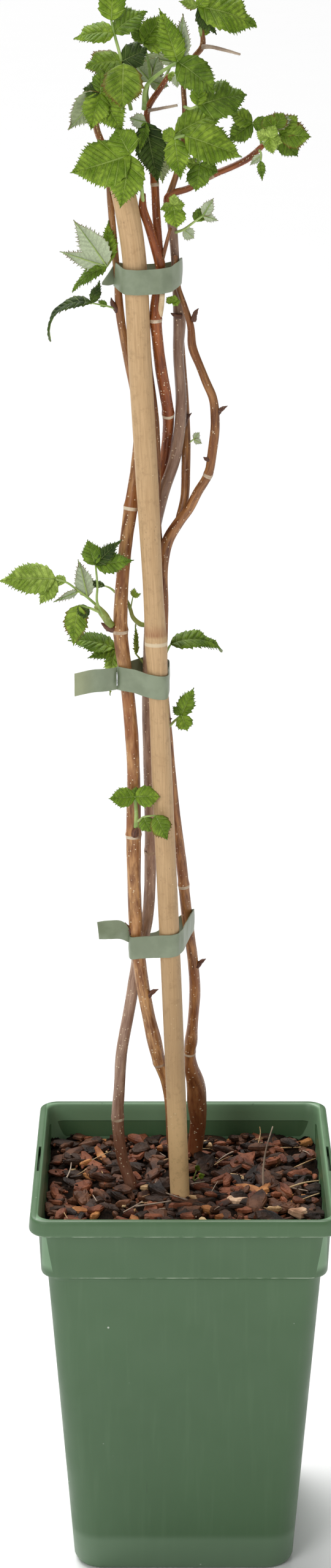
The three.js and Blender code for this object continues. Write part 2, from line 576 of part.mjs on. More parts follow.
// Leaves: name, petiole stations [x, y, z], petiole radius, and leaflets
// [petiole station, angle, length, half width, lean, tilt, turn, fold, curl, tone].
const LEAVES = [
  ["leaf_top_left", [[-24.8, -2, 716], [-27, -5, 726], [-28.9, -6, 737.6], [-32.1, -8, 750], [-33.4, -8.5, 755.7]], 0.9, [
    [4, 2, 15.5, 6.6, 10, 10, 0, 20, 15, "bright"],
    [3, -80, 19, 6.8, 15, 45, 0, 12, 55, "bright"],
    [3, 40, 18.5, 6.8, 10, 45, 0, 12, 60, "mid"],
    [2, -84, 17.5, 7, 20, 40, 0, 12, 60, "red"],
    [2, 63, 13, 6.4, 10, 30, 0, 12, 20, "dark"],
  ]],
  ["leaf_front_drape", [[-22.6, -7, 722], [-25, -10, 732], [-28, -11.5, 737]], 0.8, [
    [2, 182, 21, 9.4, 30, 35, 0, 10, 20, "red"],
  ]],
  ["leaf_top_middle", [[-15.9, 3.5, 728], [-17, 4, 737], [-19, 3, 744.8]], 0.8, [
    [2, 32, 16.5, 5.8, 0, 10, 0, 15, 10, "bright"],
    [2, 92, 12.5, 5, 15, 40, 0, 15, 20, "bright"],
    [2, -18, 11, 4.4, -10, 10, 0, 15, 10, "mid"],
    [2, -50, 9, 2.2, -20, 180, 0, 10, 10, "pale"],
  ]],
  ["leaf_centre_top", [[-19, 0, 716], [-17.5, -4, 727], [-11.7, -7, 732.6], [-3.7, -8, 737.6]], 1.1, [
    [3, -18, 25, 6.2, 8, 5, 10, 15, 12, "bright"],
    [3, 10, 21.5, 4.8, -18, 180, 20, 12, 10, "pale"],
    [3, 120, 22.5, 8.6, 25, 30, 0, 10, 22, "mid"],
  ]],
  ["leaf_right_middle", [[-0.6, 2.5, 717], [2.4, -2, 716.5], [5.2, -4, 718]], 0.8, [
    [2, 70, 24.5, 9.6, 5, 22, 0, 8, 46, "mid"],
    [2, 8, 10, 4, 0, 10, 0, 10, 5, "bright"],
  ]],
  ["leaf_top_right", [[7, 4.8, 748], [6, 3, 756], [5.3, 1, 761]], 0.8, [
    [2, 95, 30, 10.4, 8, 34, 0, 10, 50, "mid"],
    [2, 146, 15.5, 4.6, -14, 20, 0, 12, 5, "dark"],
    [0, 25, 11.5, 2.8, -30, 0, 0, 12, 5, "mid"],
    [2, 42, 8.5, 3.2, 10, 10, 0, 12, 5, "bright"],
    [2, -70, 9, 2.6, 10, 30, 0, 12, 20, "pale"],
  ]],
  ["leaf_right_arch", [[-2.6, 4, 694], [-4.6, 1, 700], [-5, -2, 705]], 0.8, [
    [2, 58, 29, 8.4, 6, 40, 0, 10, 26, "bright"],
    [2, 82, 18, 2.6, -12, 100, 0, 10, 0, "dark"],
  ]],
  ["leaf_right_big", [[-4, 3.5, 689], [-5.6, -5, 696], [-5, -10, 704], [-0.6, -12, 705.5]], 0.9, [
    [3, 106, 28, 9.4, 12, 30, 0, 8, 30, "bright"],
    [2, 173, 18.5, 6, 10, 15, -10, 15, 12, "mid"],
    [2, -60, 6.5, 3.6, 0, 20, 0, 10, 10, "mid"],
  ]],
  ["leaf_small_right", [[6, 4, 682.5], [7, 0, 688], [6.3, -3, 691.5]], 0.7, [
    [2, 187, 12, 5.4, 20, 25, 0, 12, 20, "mid"],
    [2, 104, 9, 4.2, 10, 25, 0, 12, 20, "mid"],
    [2, -80, 7.4, 3, 0, 25, 0, 12, 10, "young"],
    [2, -12, 6, 1.5, -10, 180, 0, 10, 0, "pale"],
  ]],
  ["leaf_tip_back", [[34.6, 1.6, 699], [33.4, 5, 705], [30.4, 6, 709.5]], 0.7, [
    [2, -64, 11.5, 4.6, 0, 30, 0, 12, 20, "bright"],
    [2, -124, 14, 5.2, 5, 20, 0, 12, 20, "mid"],
    [2, 100, 8, 4, 0, 20, 0, 12, 10, "mid"],
  ]],
  ["leaf_tip_fan", [[35, 0.8, 700], [39, 0, 702], [42.7, 0, 705]], 0.7, [
    [2, 44, 11.6, 5.2, 5, 15, 0, 8, 5, "red"],
    [2, 93, 14.4, 6.2, 14, 15, 0, 8, 10, "red"],
    [2, 140, 13, 5.6, 8, 15, 0, 8, 5, "mid"],
  ]],
  ["leaf_tip_top", [[35.2, 0, 701], [38, -3.4, 704.5], [40.1, -4.4, 708]], 0.6, [
    [2, -42, 7.2, 4, 0, 20, 0, 12, 10, "red"],
    [2, 30, 8, 4.2, 0, 20, 0, 12, 15, "red"],
    [2, 55, 12, 2.8, -25, 180, 0, 12, 0, "pale"],
  ]],
  ["leaf_tip_young", [[36, -0.4, 699.4], [37.2, -5, 702.4], [37.6, -8.6, 704]], 0.6, [
    [2, -64, 6.6, 3, 0, 25, 0, 12, 10, "young"],
    [2, 20, 6.6, 3, 10, 15, 0, 12, 10, "young"],
    [2, 112, 6.4, 2.8, 10, 20, 0, 12, 10, "young"],
    [2, 168, 7.4, 3, 15, 20, 0, 12, 10, "young"],
  ]],
  ["leaf_tip_hanging", [[33.4, 0.6, 698], [34.2, -3, 696], [34, -4, 693.4]], 0.6, [
    [2, 176, 9, 2.1, 0, 10, 20, 12, 10, "mid"],
    [1, -130, 7, 1.9, -10, 180, 0, 10, 5, "pale"],
  ]],
  ["leaf_right_low", [[-5.4, 5, 660], [-1, 0.4, 662], [4.2, -2, 666], [7.8, -3, 668.6]], 0.7, [
    [3, 34, 9.4, 2.9, 0, 180, 15, 10, 5, "pale"],
    [3, 104, 7.4, 2, 0, 180, 0, 10, 5, "pale"],
    [2, 42, 10.5, 3.4, -32, 30, 0, 10, 10, "mid"],
    [1, 128, 6.4, 3, -6, 180, 0, 10, 5, "pale"],
  ]],
  ["leaf_young_middle", [[-6.6, 4.6, 670], [-6.4, -0.6, 672.6], [-5.6, -6, 673.6]], 0.7, [
    [2, 172, 10.4, 5, 20, 25, 0, 10, 20, "bright"],
    [2, -100, 6.4, 2.6, 10, 30, 0, 10, 15, "young"],
    [2, 78, 5.4, 2.5, 10, 30, 0, 10, 15, "young"],
    [2, 8, 5.4, 2.5, 0, 30, 0, 10, 10, "young"],
  ]],
  ["leaf_dark_centre", [[-16.8, 2, 707], [-18, -3.4, 710.5]], 0.8, [
    [1, 170, 28, 7.6, 0, 8, 0, 14, 6, "dark"],
    [1, -74, 8.6, 3.4, 20, 180, 0, 8, 10, "pale"],
    [1, 196, 14, 3, 14, 8, -20, 14, 6, "mid"],
  ]],
  ["leaf_front_pair", [[-19.4, -6.6, 675.5], [-21, -14, 688], [-25.2, -18, 697.5]], 0.9, [
    [2, -108, 28, 10.8, 12, 15, 0, 8, 14, "bright"],
    [2, 188, 24, 8.6, 15, 20, 0, 10, 18, "bright"],
    [2, -26, 13.5, 7.2, 10, 10, 0, 12, 10, "bright"],
  ]],
  ["leaf_left_group", [[-38.8, -5.6, 720], [-39.6, -9, 722.6], [-38.4, -12, 724.4]], 0.9, [
    [2, -138, 22, 6.8, 0, 155, 0, 10, 8, "red"],
    [2, -162, 18, 6.4, 28, 20, 0, 14, 10, "bright"],
    [2, 149, 21, 7, 20, 20, 0, 12, 12, "bright"],
    [2, 5, 10.5, 4.2, 0, 15, 0, 12, 5, "mid"],
    [2, -74, 8, 4, 0, 30, 0, 12, 15, "dark"],
  ]],
  ["leaf_centre_back", [[-16.6, 3.2, 717], [-17.6, 7, 723], [-16.4, 8.6, 728]], 0.8, [
    [2, -40, 13, 5, 0, 170, 0, 10, 10, "pale"],
    [2, 20, 12, 5, -5, 175, 0, 10, 10, "pale"],
    [2, 104, 9, 3.6, 0, 170, 0, 10, 10, "pale"],
  ]],
  ["leaf_olive_small", [[-8.6, 3, 730], [-6, 2, 732.4], [-4.4, 0.4, 731.6]], 0.6, [
    [2, 172, 6, 2.4, 0, 170, 0, 10, 5, "pale"],
    [1, -165, 5, 1.7, 20, 10, 0, 10, 5, "young"],
    [2, 100, 6, 2.2, -10, 160, 0, 10, 5, "pale"],
  ]],
  ["leaf_left_pale", [[-32.6, -4, 652], [-34.6, -7.6, 648.6], [-36, -8.6, 646.4]], 0.8, [
    [2, -32, 26.5, 6.6, 6, 180, 12, 12, 6, "pale"],
    [2, -73, 22.5, 4.4, 0, 180, 0, 10, 8, "pale"],
    [2, -104, 21, 4.2, 20, 55, 0, 10, 66, "mid"],
    [1, -6, 18.5, 4.2, -10, 20, -10, 14, 8, "bright"],
  ]],
  ["leaf_left_curled", [[-31.4, -4.6, 626.4], [-36, -6.4, 628], [-43, -8, 629.6]], 0.55, [
    [2, 22, 11, 3.2, 0, 10, 40, 14, 5, "dark"],
    [2, -74, 34, 4.8, 8, 66, 0, 14, 128, "dark"],
    [1, -60, 5, 1.7, 0, 30, 0, 10, 5, "mid"],
  ]],
  ["leaf_tie_sprout", [[-5, 5, 627], [-5.4, 0, 627.4], [-6, -3, 629]], 0.5, [
    [2, -44, 4, 1.9, 20, 20, 0, 10, 10, "bright"],
    [2, 14, 4.4, 2, 25, 20, 0, 10, 10, "bright"],
    [2, 76, 4, 1.9, 20, 20, 0, 10, 10, "bright"],
  ]],
  ["leaf_arm_small", [[0.6, 11.6, 561], [3, 11, 562], [4, 10.6, 563]], 0.5, [
    [2, 40, 4.4, 1.7, 0, 170, 0, 10, 5, "pale"],
    [2, 120, 4.4, 1.7, 0, 170, 0, 10, 5, "pale"],
  ]],
  ["leaf_middle_upright", [[-38.5, -8.4, 482], [-41.4, -9.4, 489], [-41.2, -9.8, 497], [-42, -11, 507.5]], 0.7, [
    [3, -20, 12.8, 4.8, 5, 10, 0, 14, 5, "mid"],
    [3, 40, 17.8, 4.2, 10, 10, -25, 20, 8, "dark"],
    [3, 80, 18.6, 5.2, 14, 20, 0, 12, 12, "mid"],
  ]],
  ["leaf_middle_left", [[-41.4, -6, 486.4], [-46, -7, 490.8], [-50, -8, 494], [-56, -9, 498.6], [-61, -9, 500]], 0.7, [
    [4, -82, 27.5, 7.8, 8, 32, 0, 10, 34, "bright"],
    [4, -144, 14, 4.6, 10, 20, 0, 10, 8, "bright"],
    [3, -80, 9, 3, -30, 30, 0, 10, 10, "bright"],
    [1, -12, 18.5, 4.6, -8, 180, -12, 12, 6, "pale"],
    [2, -104, 14, 2.2, 26, 160, 0, 10, 6, "pale"],
  ]],
  ["leaf_middle_low", [[-40.6, -10.4, 484.6], [-45, -12.4, 487], [-50, -13, 488.4]], 0.7, [
    [2, -168, 19.5, 6, 8, 15, -12, 12, 10, "red"],
    [1, -112, 6.6, 3.6, 24, 20, 0, 10, 10, "dark"],
  ]],
  ["leaf_behind_main", [[-33, 2.6, 491], [-35.6, 3, 493], [-38, 3, 494]], 0.6, [
    [2, -74, 9.6, 2.2, 0, 50, 0, 14, 30, "dark"],
  ]],
  ["leaf_hook_small", [[-25.8, 2, 483], [-25.2, 0.6, 486.6], [-24.6, 0, 489.4]], 0.4, [
    [2, 10, 4.4, 1.6, 0, 10, 0, 10, 5, "young"],
    [2, 70, 4.2, 1.2, 0, 10, 0, 10, 5, "young"],
  ]],
  ["leaf_tie_left", [[-30, 0.6, 459], [-31.4, 4.6, 460.6], [-33.4, 6, 462.6]], 0.7, [
    [2, -66, 25.5, 6, 0, 52, 0, 12, 60, "mid"],
    [2, -106, 14, 3.4, 16, 24, 0, 10, 15, "mid"],
    [2, -170, 24, 4, 0, 20, 0, 12, 8, "young"],
  ]],
  ["leaf_tie_sliver", [[-17.6, 8.6, 452], [-21, 9.4, 456], [-23.4, 9, 459]], 0.6, [
    [2, 0, 15, 1.9, 0, 10, 40, 14, 4, "young"],
  ]],
  ["leaf_tie_right", [[-9.6, 4.4, 459], [-7.6, 8, 462.6], [-6.6, 8.6, 464]], 0.7, [
    [2, 66, 30, 6.4, 0, 58, 0, 12, 86, "mid"],
  ]],
  ["leaf_right_shoot", [[-8, 2.8, 424], [-4.6, -0.6, 428.6], [-1.6, -2.6, 432]], 0.7, [
    [2, 24, 15, 4.6, 6, 10, -25, 16, 4, "mid"],
    [2, 160, 8.4, 4.2, 10, 15, 0, 12, 15, "bright"],
    [2, -44, 6, 2.2, 0, 15, 0, 12, 5, "mid"],
  ]],
  ["leaf_lower_left", [[-23.4, -7.2, 377], [-23.2, -9.4, 384], [-23.8, -11, 393.5]], 1.2, [
    [2, -88, 12.8, 5, 14, 25, 0, 10, 16, "bright"],
    [2, 80, 12.4, 5.4, 18, 25, 0, 10, 22, "bright"],
    [2, 10, 5, 2.1, -20, 10, 0, 10, 5, "mid"],
  ]],
  ["leaf_lower_right", [[-22.4, -10.6, 381], [-19.6, -15, 384.6], [-14, -18.4, 386.4]], 0.6, [
    [1, 158, 8.6, 4.2, 0, 15, 0, 10, 10, "mid"],
    [2, 152, 13.4, 5.2, 6, 20, 0, 10, 14, "red"],
  ]],
  ["leaf_back_high", [[-13, 4, 724], [-9, 12, 730], [-6, 18, 736]], 0.9, [
    [2, 12, 18, 6.2, -30, 150, 0, 12, 20, "mid"],
    [2, 98, 17, 6.2, -35, 130, 0, 12, 20, "mid"],
    [2, -80, 17, 6.2, -35, 130, 0, 12, 20, "bright"],
  ]],
  ["leaf_back_low", [[-14.4, 2.6, 687], [-14, 12, 694], [-13, 20, 700]], 0.9, [
    [2, 176, 21, 7, -28, 160, 0, 12, 20, "bright"],
    [2, 100, 18, 6.4, -40, 140, 0, 12, 20, "mid"],
    [2, -96, 18, 6.4, -40, 140, 0, 12, 20, "mid"],
  ]],
];

// Soft green shoots and dry twigs: [x, y, z, radius] stations.
const SHOOT_MIDDLE = [
  [-34.6, -5, 476.6, 1.7],
  [-36.6, -6.2, 479.4, 1.9],
  [-39, -7.4, 483.4, 1.8],
  [-42, -8.2, 487, 1.3],
];
const SHOOT_HOOK = [
  [-17.8, 3.4, 474.6, 1.1],
  [-21.4, 3.2, 475.4, 1.2],
  [-24.6, 2.8, 478.6, 1.0],
  [-26, 2.6, 483, 0.9],
  [-28.6, 2.6, 488.4, 0.8],
  [-33.4, 2.6, 491.4, 0.8],
];
const DRY_TWIG_LEFT = [
  [-17, 0.6, 715.4, 0.8],
  [-12, -0.6, 716.4, 0.7],
  [-3.9, -1.6, 718, 0.6],
];
const DRY_TWIG_RIGHT = [
  [7.6, 3.4, 743.4, 1.2],
  [11, 1, 743.6, 0.9],
  [16, -0.4, 742.6, 0.8],
  [24.4, -1.4, 740.4, 0.5],
];

// ---- bark mulch ----
const MULCH_CELLS = 9;
const MULCH_HALF = 67.4;

// A wavy top for the mulch, highest near the middle of the pot.
function mulchHeight(x, y) {
  const wave = 1.3 * Math.sin(x * 0.31 + y * 0.17) + 1.1 * Math.sin(y * 0.37 - x * 0.11 + 1.3);
  const edge = Math.max(Math.abs(x), Math.abs(y)) / MULCH_HALF;
  return MULCH_TOP + wave - 1.6 * edge * edge;
}

function mulchSolid() {
  const step = 160 / MULCH_CELLS;
  const positions = [];
  const indices = [];
  const n = MULCH_CELLS + 1;
  for (const top of [false, true])
    for (let j = 0; j < n; j++)
      for (let i = 0; i < n; i++) {
        const x = -80 + i * step;
        const y = -80 + j * step;
        positions.push(x, y, top ? mulchHeight(x, y) : COMPOST_TOP + GAP);
      }
  const at = (i, j, top) => (top ? n * n : 0) + j * n + i;
  for (let j = 0; j < MULCH_CELLS; j++)
    for (let i = 0; i < MULCH_CELLS; i++) {
      indices.push(at(i, j, 1), at(i + 1, j, 1), at(i + 1, j + 1, 1));
      indices.push(at(i, j, 1), at(i + 1, j + 1, 1), at(i, j + 1, 1));
      indices.push(at(i, j, 0), at(i + 1, j + 1, 0), at(i + 1, j, 0));
      indices.push(at(i, j, 0), at(i, j + 1, 0), at(i + 1, j + 1, 0));
    }
  const wall = (a, b, c, d) => indices.push(a, b, c, a, c, d);
  for (let i = 0; i < MULCH_CELLS; i++) {
    wall(at(i, 0, 0), at(i + 1, 0, 0), at(i + 1, 0, 1), at(i, 0, 1));
    wall(at(i + 1, n - 1, 0), at(i, n - 1, 0), at(i, n - 1, 1), at(i + 1, n - 1, 1));
    wall(at(0, i + 1, 0), at(0, i, 0), at(0, i, 1), at(0, i + 1, 1));
    wall(at(n - 1, i, 0), at(n - 1, i + 1, 0), at(n - 1, i + 1, 1), at(n - 1, i, 1));
  }
  const slab = solidFrom(positions, indices);
  return slab.intersect(cavity(GAP, COMPOST_TOP - 6, RIM_Z));
}

// ---- wire staple ----
const STAPLE_AT = [-32.2, -6.4, 451];

function stapleSolid([x, y, z]) {
  return boxSolid(0.6, 0.5, 6.4, x, y - 0.6, z);
}

// ---- assembly ----
const object = new THREE.Group();
const COLOURS = {
  pot: 0x587357,
  compost: 0x2e211a,
  bark: 0x5f3a2a,
  bamboo: 0xcdaf7d,
  cane: 0x8a5a35,
  tape: 0x82967d,
  wire: 0xb8bcc0,
  leaf: 0x5a8c28,
  shoot: 0x7f9a4a,
  twig: 0x9a8a7c,
};

function addNode(name, solid, colour) {
  const body = largestOf(solid.simplify(TIDY));
  const mesh = body.getMesh();
  const count = mesh.numProp;
  const positions = new Float32Array(mesh.numVert * 3);
  for (let i = 0; i < mesh.numVert; i++)
    positions.set(mesh.vertProperties.subarray(i * count, i * count + 3), 3 * i);
  const geometry = new THREE.BufferGeometry();
  geometry.setAttribute("position", new THREE.BufferAttribute(positions, 3));
  geometry.setIndex(new THREE.BufferAttribute(mesh.triVerts, 1));
  const material = new THREE.MeshStandardMaterial({ color: COLOURS[colour] });
  const made = new THREE.Mesh(geometry, material);
  made.name = name;
  object.add(made);
  return body;
}

function cane(stationLists, buds, grow = 0) {
  const parts = stationLists.map((stations) => rod(stations, CANE_SIDES, grow));
  return joined(parts.concat(buds.map((bud) => budSolid(bud, grow))));
}

const ROOT_CANES = {
  cane_main: [[MAIN_CANE], MAIN_BUDS],
  cane_left: [
    [LEFT_CANE, RED_BRANCH, TOP_FORK_LEFT, TOP_FORK_RIGHT, HAIRY_TWIG, CUT_STUB, RIGHT_LATERAL, TOP_STEM],
    LEFT_BUDS,
  ],
  cane_right: [[RIGHT_CANE, INNER_ARM, SIDE_STRIP], RIGHT_BUDS],
};

// Everything placed so far, grown by the gap, so that a later piece can be trimmed clear of it.
const keepClear = [];

function trimmed(solid) {
  return keepClear.reduce((rest, taken) => (touching(rest, taken) ? rest.subtract(taken) : rest), solid);
}

function place(name, solid, grown, colour) {
  addNode(name, trimmed(solid), colour);
  keepClear.push(grown);
}

const stake = rod(STAKE, STAKE_SIDES);
const pot = potSolid();
addNode("square_pot", pot, "pot");
place("bamboo_stake", stake, rod(STAKE, STAKE_SIDES, GAP), "bamboo");
for (const [name, [lists, buds]] of Object.entries(ROOT_CANES))
  place(name, cane(lists, buds), cane(lists, buds, GAP), "cane");

const holes = joined(keepClear.slice());
addNode("potting_compost", cavity(GAP, FLOOR + GAP, COMPOST_TOP).subtract(holes), "compost");
addNode("bark_mulch", mulchSolid().subtract(holes), "bark");

for (const tape of TAPES) place(tape.name, tapeSolid(tape), tapeSolid(tape, GAP), "tape");
place("staple_middle", stapleSolid(STAPLE_AT), stapleSolid(STAPLE_AT), "wire");

place("dry_twig_left", rod(DRY_TWIG_LEFT, 5), rod(DRY_TWIG_LEFT, 5, GAP), "twig");
place("dry_twig_right", rod(DRY_TWIG_RIGHT, 5), rod(DRY_TWIG_RIGHT, 5, GAP), "twig");
place("shoot_middle", rod(SHOOT_MIDDLE, 6), rod(SHOOT_MIDDLE, 6, GAP), "shoot");
place("shoot_hook", rod(SHOOT_HOOK, 6), rod(SHOOT_HOOK, 6, GAP), "shoot");

function leafSolid([, petiole, radius, blades], grow = 0) {
  const stations = petiole.map((p, i) => [...p, radius * lerp(1, 0.7, i / (petiole.length - 1))]);
  const parts = [rod(stations, 4, grow)];
  for (const blade of blades) parts.push(bladeSolid(vec(petiole[blade[0]]), blade, grow));
  return joined(parts);
}

for (const leaf of LEAVES) place(leaf[0], leafSolid(leaf), leafSolid(leaf, GAP), "leaf");

export default object;
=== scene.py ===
"""A young raspberry plant in a square nursery pot, tied to a bamboo stake.

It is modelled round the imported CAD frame. The tables are in millimetres and the pieces in metres.
+Z is up, +X to the right, and the viewer stands on -Y.
"""

import math
import random

import bpy
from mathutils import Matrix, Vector, noise


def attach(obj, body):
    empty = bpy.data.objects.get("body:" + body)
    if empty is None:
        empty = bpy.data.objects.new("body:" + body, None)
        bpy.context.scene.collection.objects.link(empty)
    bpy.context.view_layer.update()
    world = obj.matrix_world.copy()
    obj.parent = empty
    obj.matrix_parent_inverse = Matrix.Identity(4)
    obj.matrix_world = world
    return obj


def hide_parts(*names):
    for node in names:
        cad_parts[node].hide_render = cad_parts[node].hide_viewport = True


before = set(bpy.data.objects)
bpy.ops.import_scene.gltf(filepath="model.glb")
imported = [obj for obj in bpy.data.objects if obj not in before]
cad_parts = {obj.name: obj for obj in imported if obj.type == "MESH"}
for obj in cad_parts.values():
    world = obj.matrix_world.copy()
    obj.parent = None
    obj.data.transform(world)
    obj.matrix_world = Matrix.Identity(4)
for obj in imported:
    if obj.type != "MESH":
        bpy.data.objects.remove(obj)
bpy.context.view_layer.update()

MM = 0.001

# ---- the pot ----
RIM_HALF = 75
RIM_Z = 200
SKIRT_Z = 191.4
COLLAR_HALF = 70.6
COLLAR_BOTTOM_HALF = 69.6
COLLAR_Z = 168
BODY_TOP_HALF = 66.4
BASE_HALF = 54.6
WALL = 1.4
FLOOR = 2.4
MULCH_TOP = 184
DRAIN_RING = 34
DRAIN_RADIUS = 5
SLOT_AT = 72.6
SLOT_SIZE = (1.3, 30, 9)

# ---- stake and canes: [x, y, z, radius] stations in millimetres ----

STAKE = [
    [3.5, -8, 40, 4.8], [-1.9, -8, 182, 4.85], [-6.4, -8, 300, 4.95], [-10.8, -8, 400, 5.0],
    [-13.4, -8, 462, 5.1], [-13.7, -8, 468, 5.4], [-14, -8, 474, 5.15], [-18, -8, 550, 5.25],
    [-20.9, -8, 600, 5.35], [-25, -8, 662, 5.45], [-30.5, -8, 690, 5.5],
]

MAIN_CANE = [
    [-3, 10, 150, 3.4], [-5, 8, 205, 3.4], [-9, 5, 242, 3.3], [-12.2, 4, 250.5, 3.2],
    [-14.1, 3, 259, 3.6], [-18.6, 2, 281, 3.2], [-21.6, 0, 301, 3.3], [-23.6, -2, 322, 3.4],
    [-24.5, -3, 345, 3.3], [-24.7, -3, 372, 3.6], [-24.6, -3, 402, 3.2], [-26.1, -3, 431, 3.2],
    [-28.1, -3, 451, 3.2], [-30.6, -3, 474, 3.5], [-30.2, -3, 489, 3.2], [-27.7, -2, 517, 3.0],
    [-25.4, -0.5, 533, 3.2], [-23.2, 1, 551, 2.4], [-22, 1.2, 570, 2.1], [-23.2, 0.8, 585, 2.0],
    [-25.7, -0.5, 598, 2.0], [-28, -2, 610, 1.9], [-30.3, -3.5, 626, 2.0], [-31.2, -3.6, 640, 1.6],
    [-32.6, -3.8, 655, 1.6], [-34, -2, 672, 1.6], [-36.2, -0.5, 696, 1.6], [-40.6, -2, 709, 1.5],
    [-38.6, -7, 723, 1.1],
]

LEFT_CANE = [
    [-22, 4, 150, 3.0], [-26.2, 4, 182, 3.0], [-31, 6, 198, 2.9], [-33.2, 6, 220, 3.0],
    [-32.3, 6, 236, 2.8], [-31.3, 6, 253, 2.9], [-27.2, 7, 277, 2.9], [-22.8, 8.5, 303, 2.9],
    [-18.3, 8.5, 324, 2.9], [-16.6, 8, 360, 2.8], [-17, 8, 394, 2.7], [-17.9, 8, 433, 2.6],
    [-16.5, 8, 480, 2.6], [-14.2, 8, 520, 2.7], [-9.5, 8, 540, 2.7], [-5.2, 7.5, 553, 2.7],
    [-2.9, 7, 565, 2.7], [-1.9, 7, 580, 2.6], [-3.2, 7, 605, 2.5], [-2.8, 7, 621, 2.9],
    [-4, 7, 634, 2.0], [-5.2, 6, 654, 2.0], [-6.6, 5, 668, 2.3],
]

RED_BRANCH = [
    [-16.5, 8.5, 482, 2.3], [-15.5, 14, 505, 2.4], [-13.2, 15, 530, 2.5], [-10.5, 14.5, 547, 2.6],
    [-8.4, 12.5, 562, 2.6], [-8, 7, 576, 2.7], [-9.3, 2, 586, 2.8], [-11.4, -2, 599, 2.7],
    [-13, -4, 613, 2.6], [-13.8, -5, 622, 2.8], [-12.9, -5, 634, 2.5], [-11.4, -4.8, 645, 2.5],
]

TOP_FORK_LEFT = [
    [-11.4, -4.8, 645, 2.2], [-14.3, -5.5, 656, 2.1], [-17, -6, 665, 2.0], [-19.6, -6, 673, 1.9],
    [-19.4, -6, 679, 1.2],
]

TOP_FORK_RIGHT = [
    [-11.2, -4.6, 645, 2.1], [-12.2, -2.5, 653, 2.0], [-13.3, -1, 667, 1.9], [-14.2, 1, 683, 1.8],
    [-16.6, 3, 702, 1.6], [-17.2, 3, 716, 1.4], [-11.6, 3, 725, 1.3], [-7.6, 3, 731, 1.0],
]

HAIRY_TWIG = [
    [-11, -4.4, 648, 1.0], [-8.8, -3, 656, 0.9], [-6.9, -2, 663, 0.8],
]

CUT_STUB = [
    [-11.9, -5.6, 623.4, 1.3], [-11.1, -7.4, 629, 1.3], [-10.7, -8, 634, 1.2],
]

RIGHT_LATERAL = [
    [-6.6, 5, 668, 2.2], [-8.2, 4.5, 676, 1.8], [2, 4, 680.5, 1.5], [11.4, 3.5, 686, 1.5],
    [21, 3, 690, 1.5], [28.6, 2, 694, 1.5], [35.2, 1, 700, 1.2],
]

TOP_STEM = [
    [-7.8, 4.6, 676, 1.6], [-3.2, 5, 690, 1.4], [-0.6, 5, 706, 1.3], [-0.5, 4, 716, 1.2],
    [-0.8, 4, 728, 1.2], [3, 5, 738, 1.2], [7.4, 5, 743.5, 1.3], [7, 5, 752, 0.9],
]

RIGHT_CANE = [
    [5, 40, 150, 3.6], [6, 40, 188, 3.8], [7.4, 38, 205, 4.3], [6.8, 36, 214, 4.9],
    [6, 34, 227, 4.7], [3.6, 31, 237, 3.6], [3, 29, 246, 2.8], [3.6, 27, 252, 3.3],
    [4.2, 25, 260, 2.8], [5.4, 20, 284, 2.8], [4.6, 17, 297, 2.7], [1.2, 12, 326, 2.7],
    [-1.4, 8.5, 353, 2.6], [-4.4, 5, 378, 2.5], [-7.8, 3.5, 415, 2.4], [-10.4, 3.6, 450, 2.2],
    [-10, 3, 485, 2.2], [-9.8, 3, 506, 2.2], [-8.4, 3, 515, 2.7], [-2.6, 2, 525.5, 2.5],
    [1.6, 0, 531.5, 2.3], [6.1, -2, 540.5, 2.2], [10.8, -3, 549, 2.1], [12.7, -3, 560, 2.2],
    [13.9, -3, 575, 2.1], [12.8, -3, 585, 2.0], [9.8, -3, 592, 2.0], [6.4, -2.5, 600.5, 1.9],
    [3.4, -1.5, 608, 2.0], [2.4, -0.5, 618, 1.6], [-0.4, 0.5, 627, 1.4], [-3.4, 0.8, 636, 1.2],
    [-4.6, 0.6, 650, 1.1],
]

INNER_ARM = [
    [-2.2, 2.4, 527, 2.2], [-0.2, 5, 536, 2.1], [0.4, 8, 547, 2.1], [0.5, 11.5, 560, 2.2],
    [0.2, 12.6, 575, 1.9], [-1.4, 13, 600, 1.7], [-3.8, 13, 632, 1.4],
]

SIDE_STRIP = [
    [-9.9, 3.4, 500, 1.7], [-12.6, 4.6, 520, 1.7], [-13, 5, 548, 1.7], [-13.8, 5, 572, 1.7],
    [-17, 5, 600, 1.6], [-19, 4.6, 634, 1.4],
]

# Buds: [x, y, z, direction from +Z clockwise in degrees, toward the viewer, length, radius]

MAIN_BUDS = [
    [-18.6, 0.5, 286, 50, 10, 8, 1.3], [-26, -3, 322, -30, 10, 6, 1.3],
    [-32, -3, 474, -62, 15, 9, 1.8], [-23.8, -6, 373, 14, 30, 5, 1.6],
    [-31.4, -4, 626, -25, 20, 7, 1.2],
]

RIGHT_BUDS = [
    [6.8, 16, 297, 45, 10, 6, 1.1], [14.4, -3, 577, 50, 10, 7, 1.1],
    [3.8, -1.5, 621, 22, 10, 6, 1.1], [11, -4, 556, -60, 10, 3, 0.9],
    [-9, 0.5, 428, 60, 30, 4, 1.0],
]

LEFT_BUDS = [
    [-0.6, 9, 570, 35, -20, 7, 1.0], [-2.4, 3.6, 622, -70, 20, 5, 1.1],
    [-16.4, 6, 360, -80, 0, 3, 0.8],
]

# Soft green shoots and dry twigs: [x, y, z, radius] stations.

SHOOT_MIDDLE = [
    [-34.6, -5, 476.6, 1.7], [-36.6, -6.2, 479.4, 1.9], [-39, -7.4, 483.4, 1.8],
    [-42, -8.2, 487, 1.3],
]

SHOOT_HOOK = [
    [-17.8, 3.4, 474.6, 1.1], [-21.4, 3.2, 475.4, 1.2], [-24.6, 2.8, 478.6, 1.0],
    [-26, 2.6, 483, 0.9], [-28.6, 2.6, 488.4, 0.8], [-33.4, 2.6, 491.4, 0.8],
]

DRY_TWIG_LEFT = [
    [-17, 0.6, 715.4, 0.8], [-12, -0.6, 716.4, 0.7], [-3.9, -1.6, 718, 0.6],
]

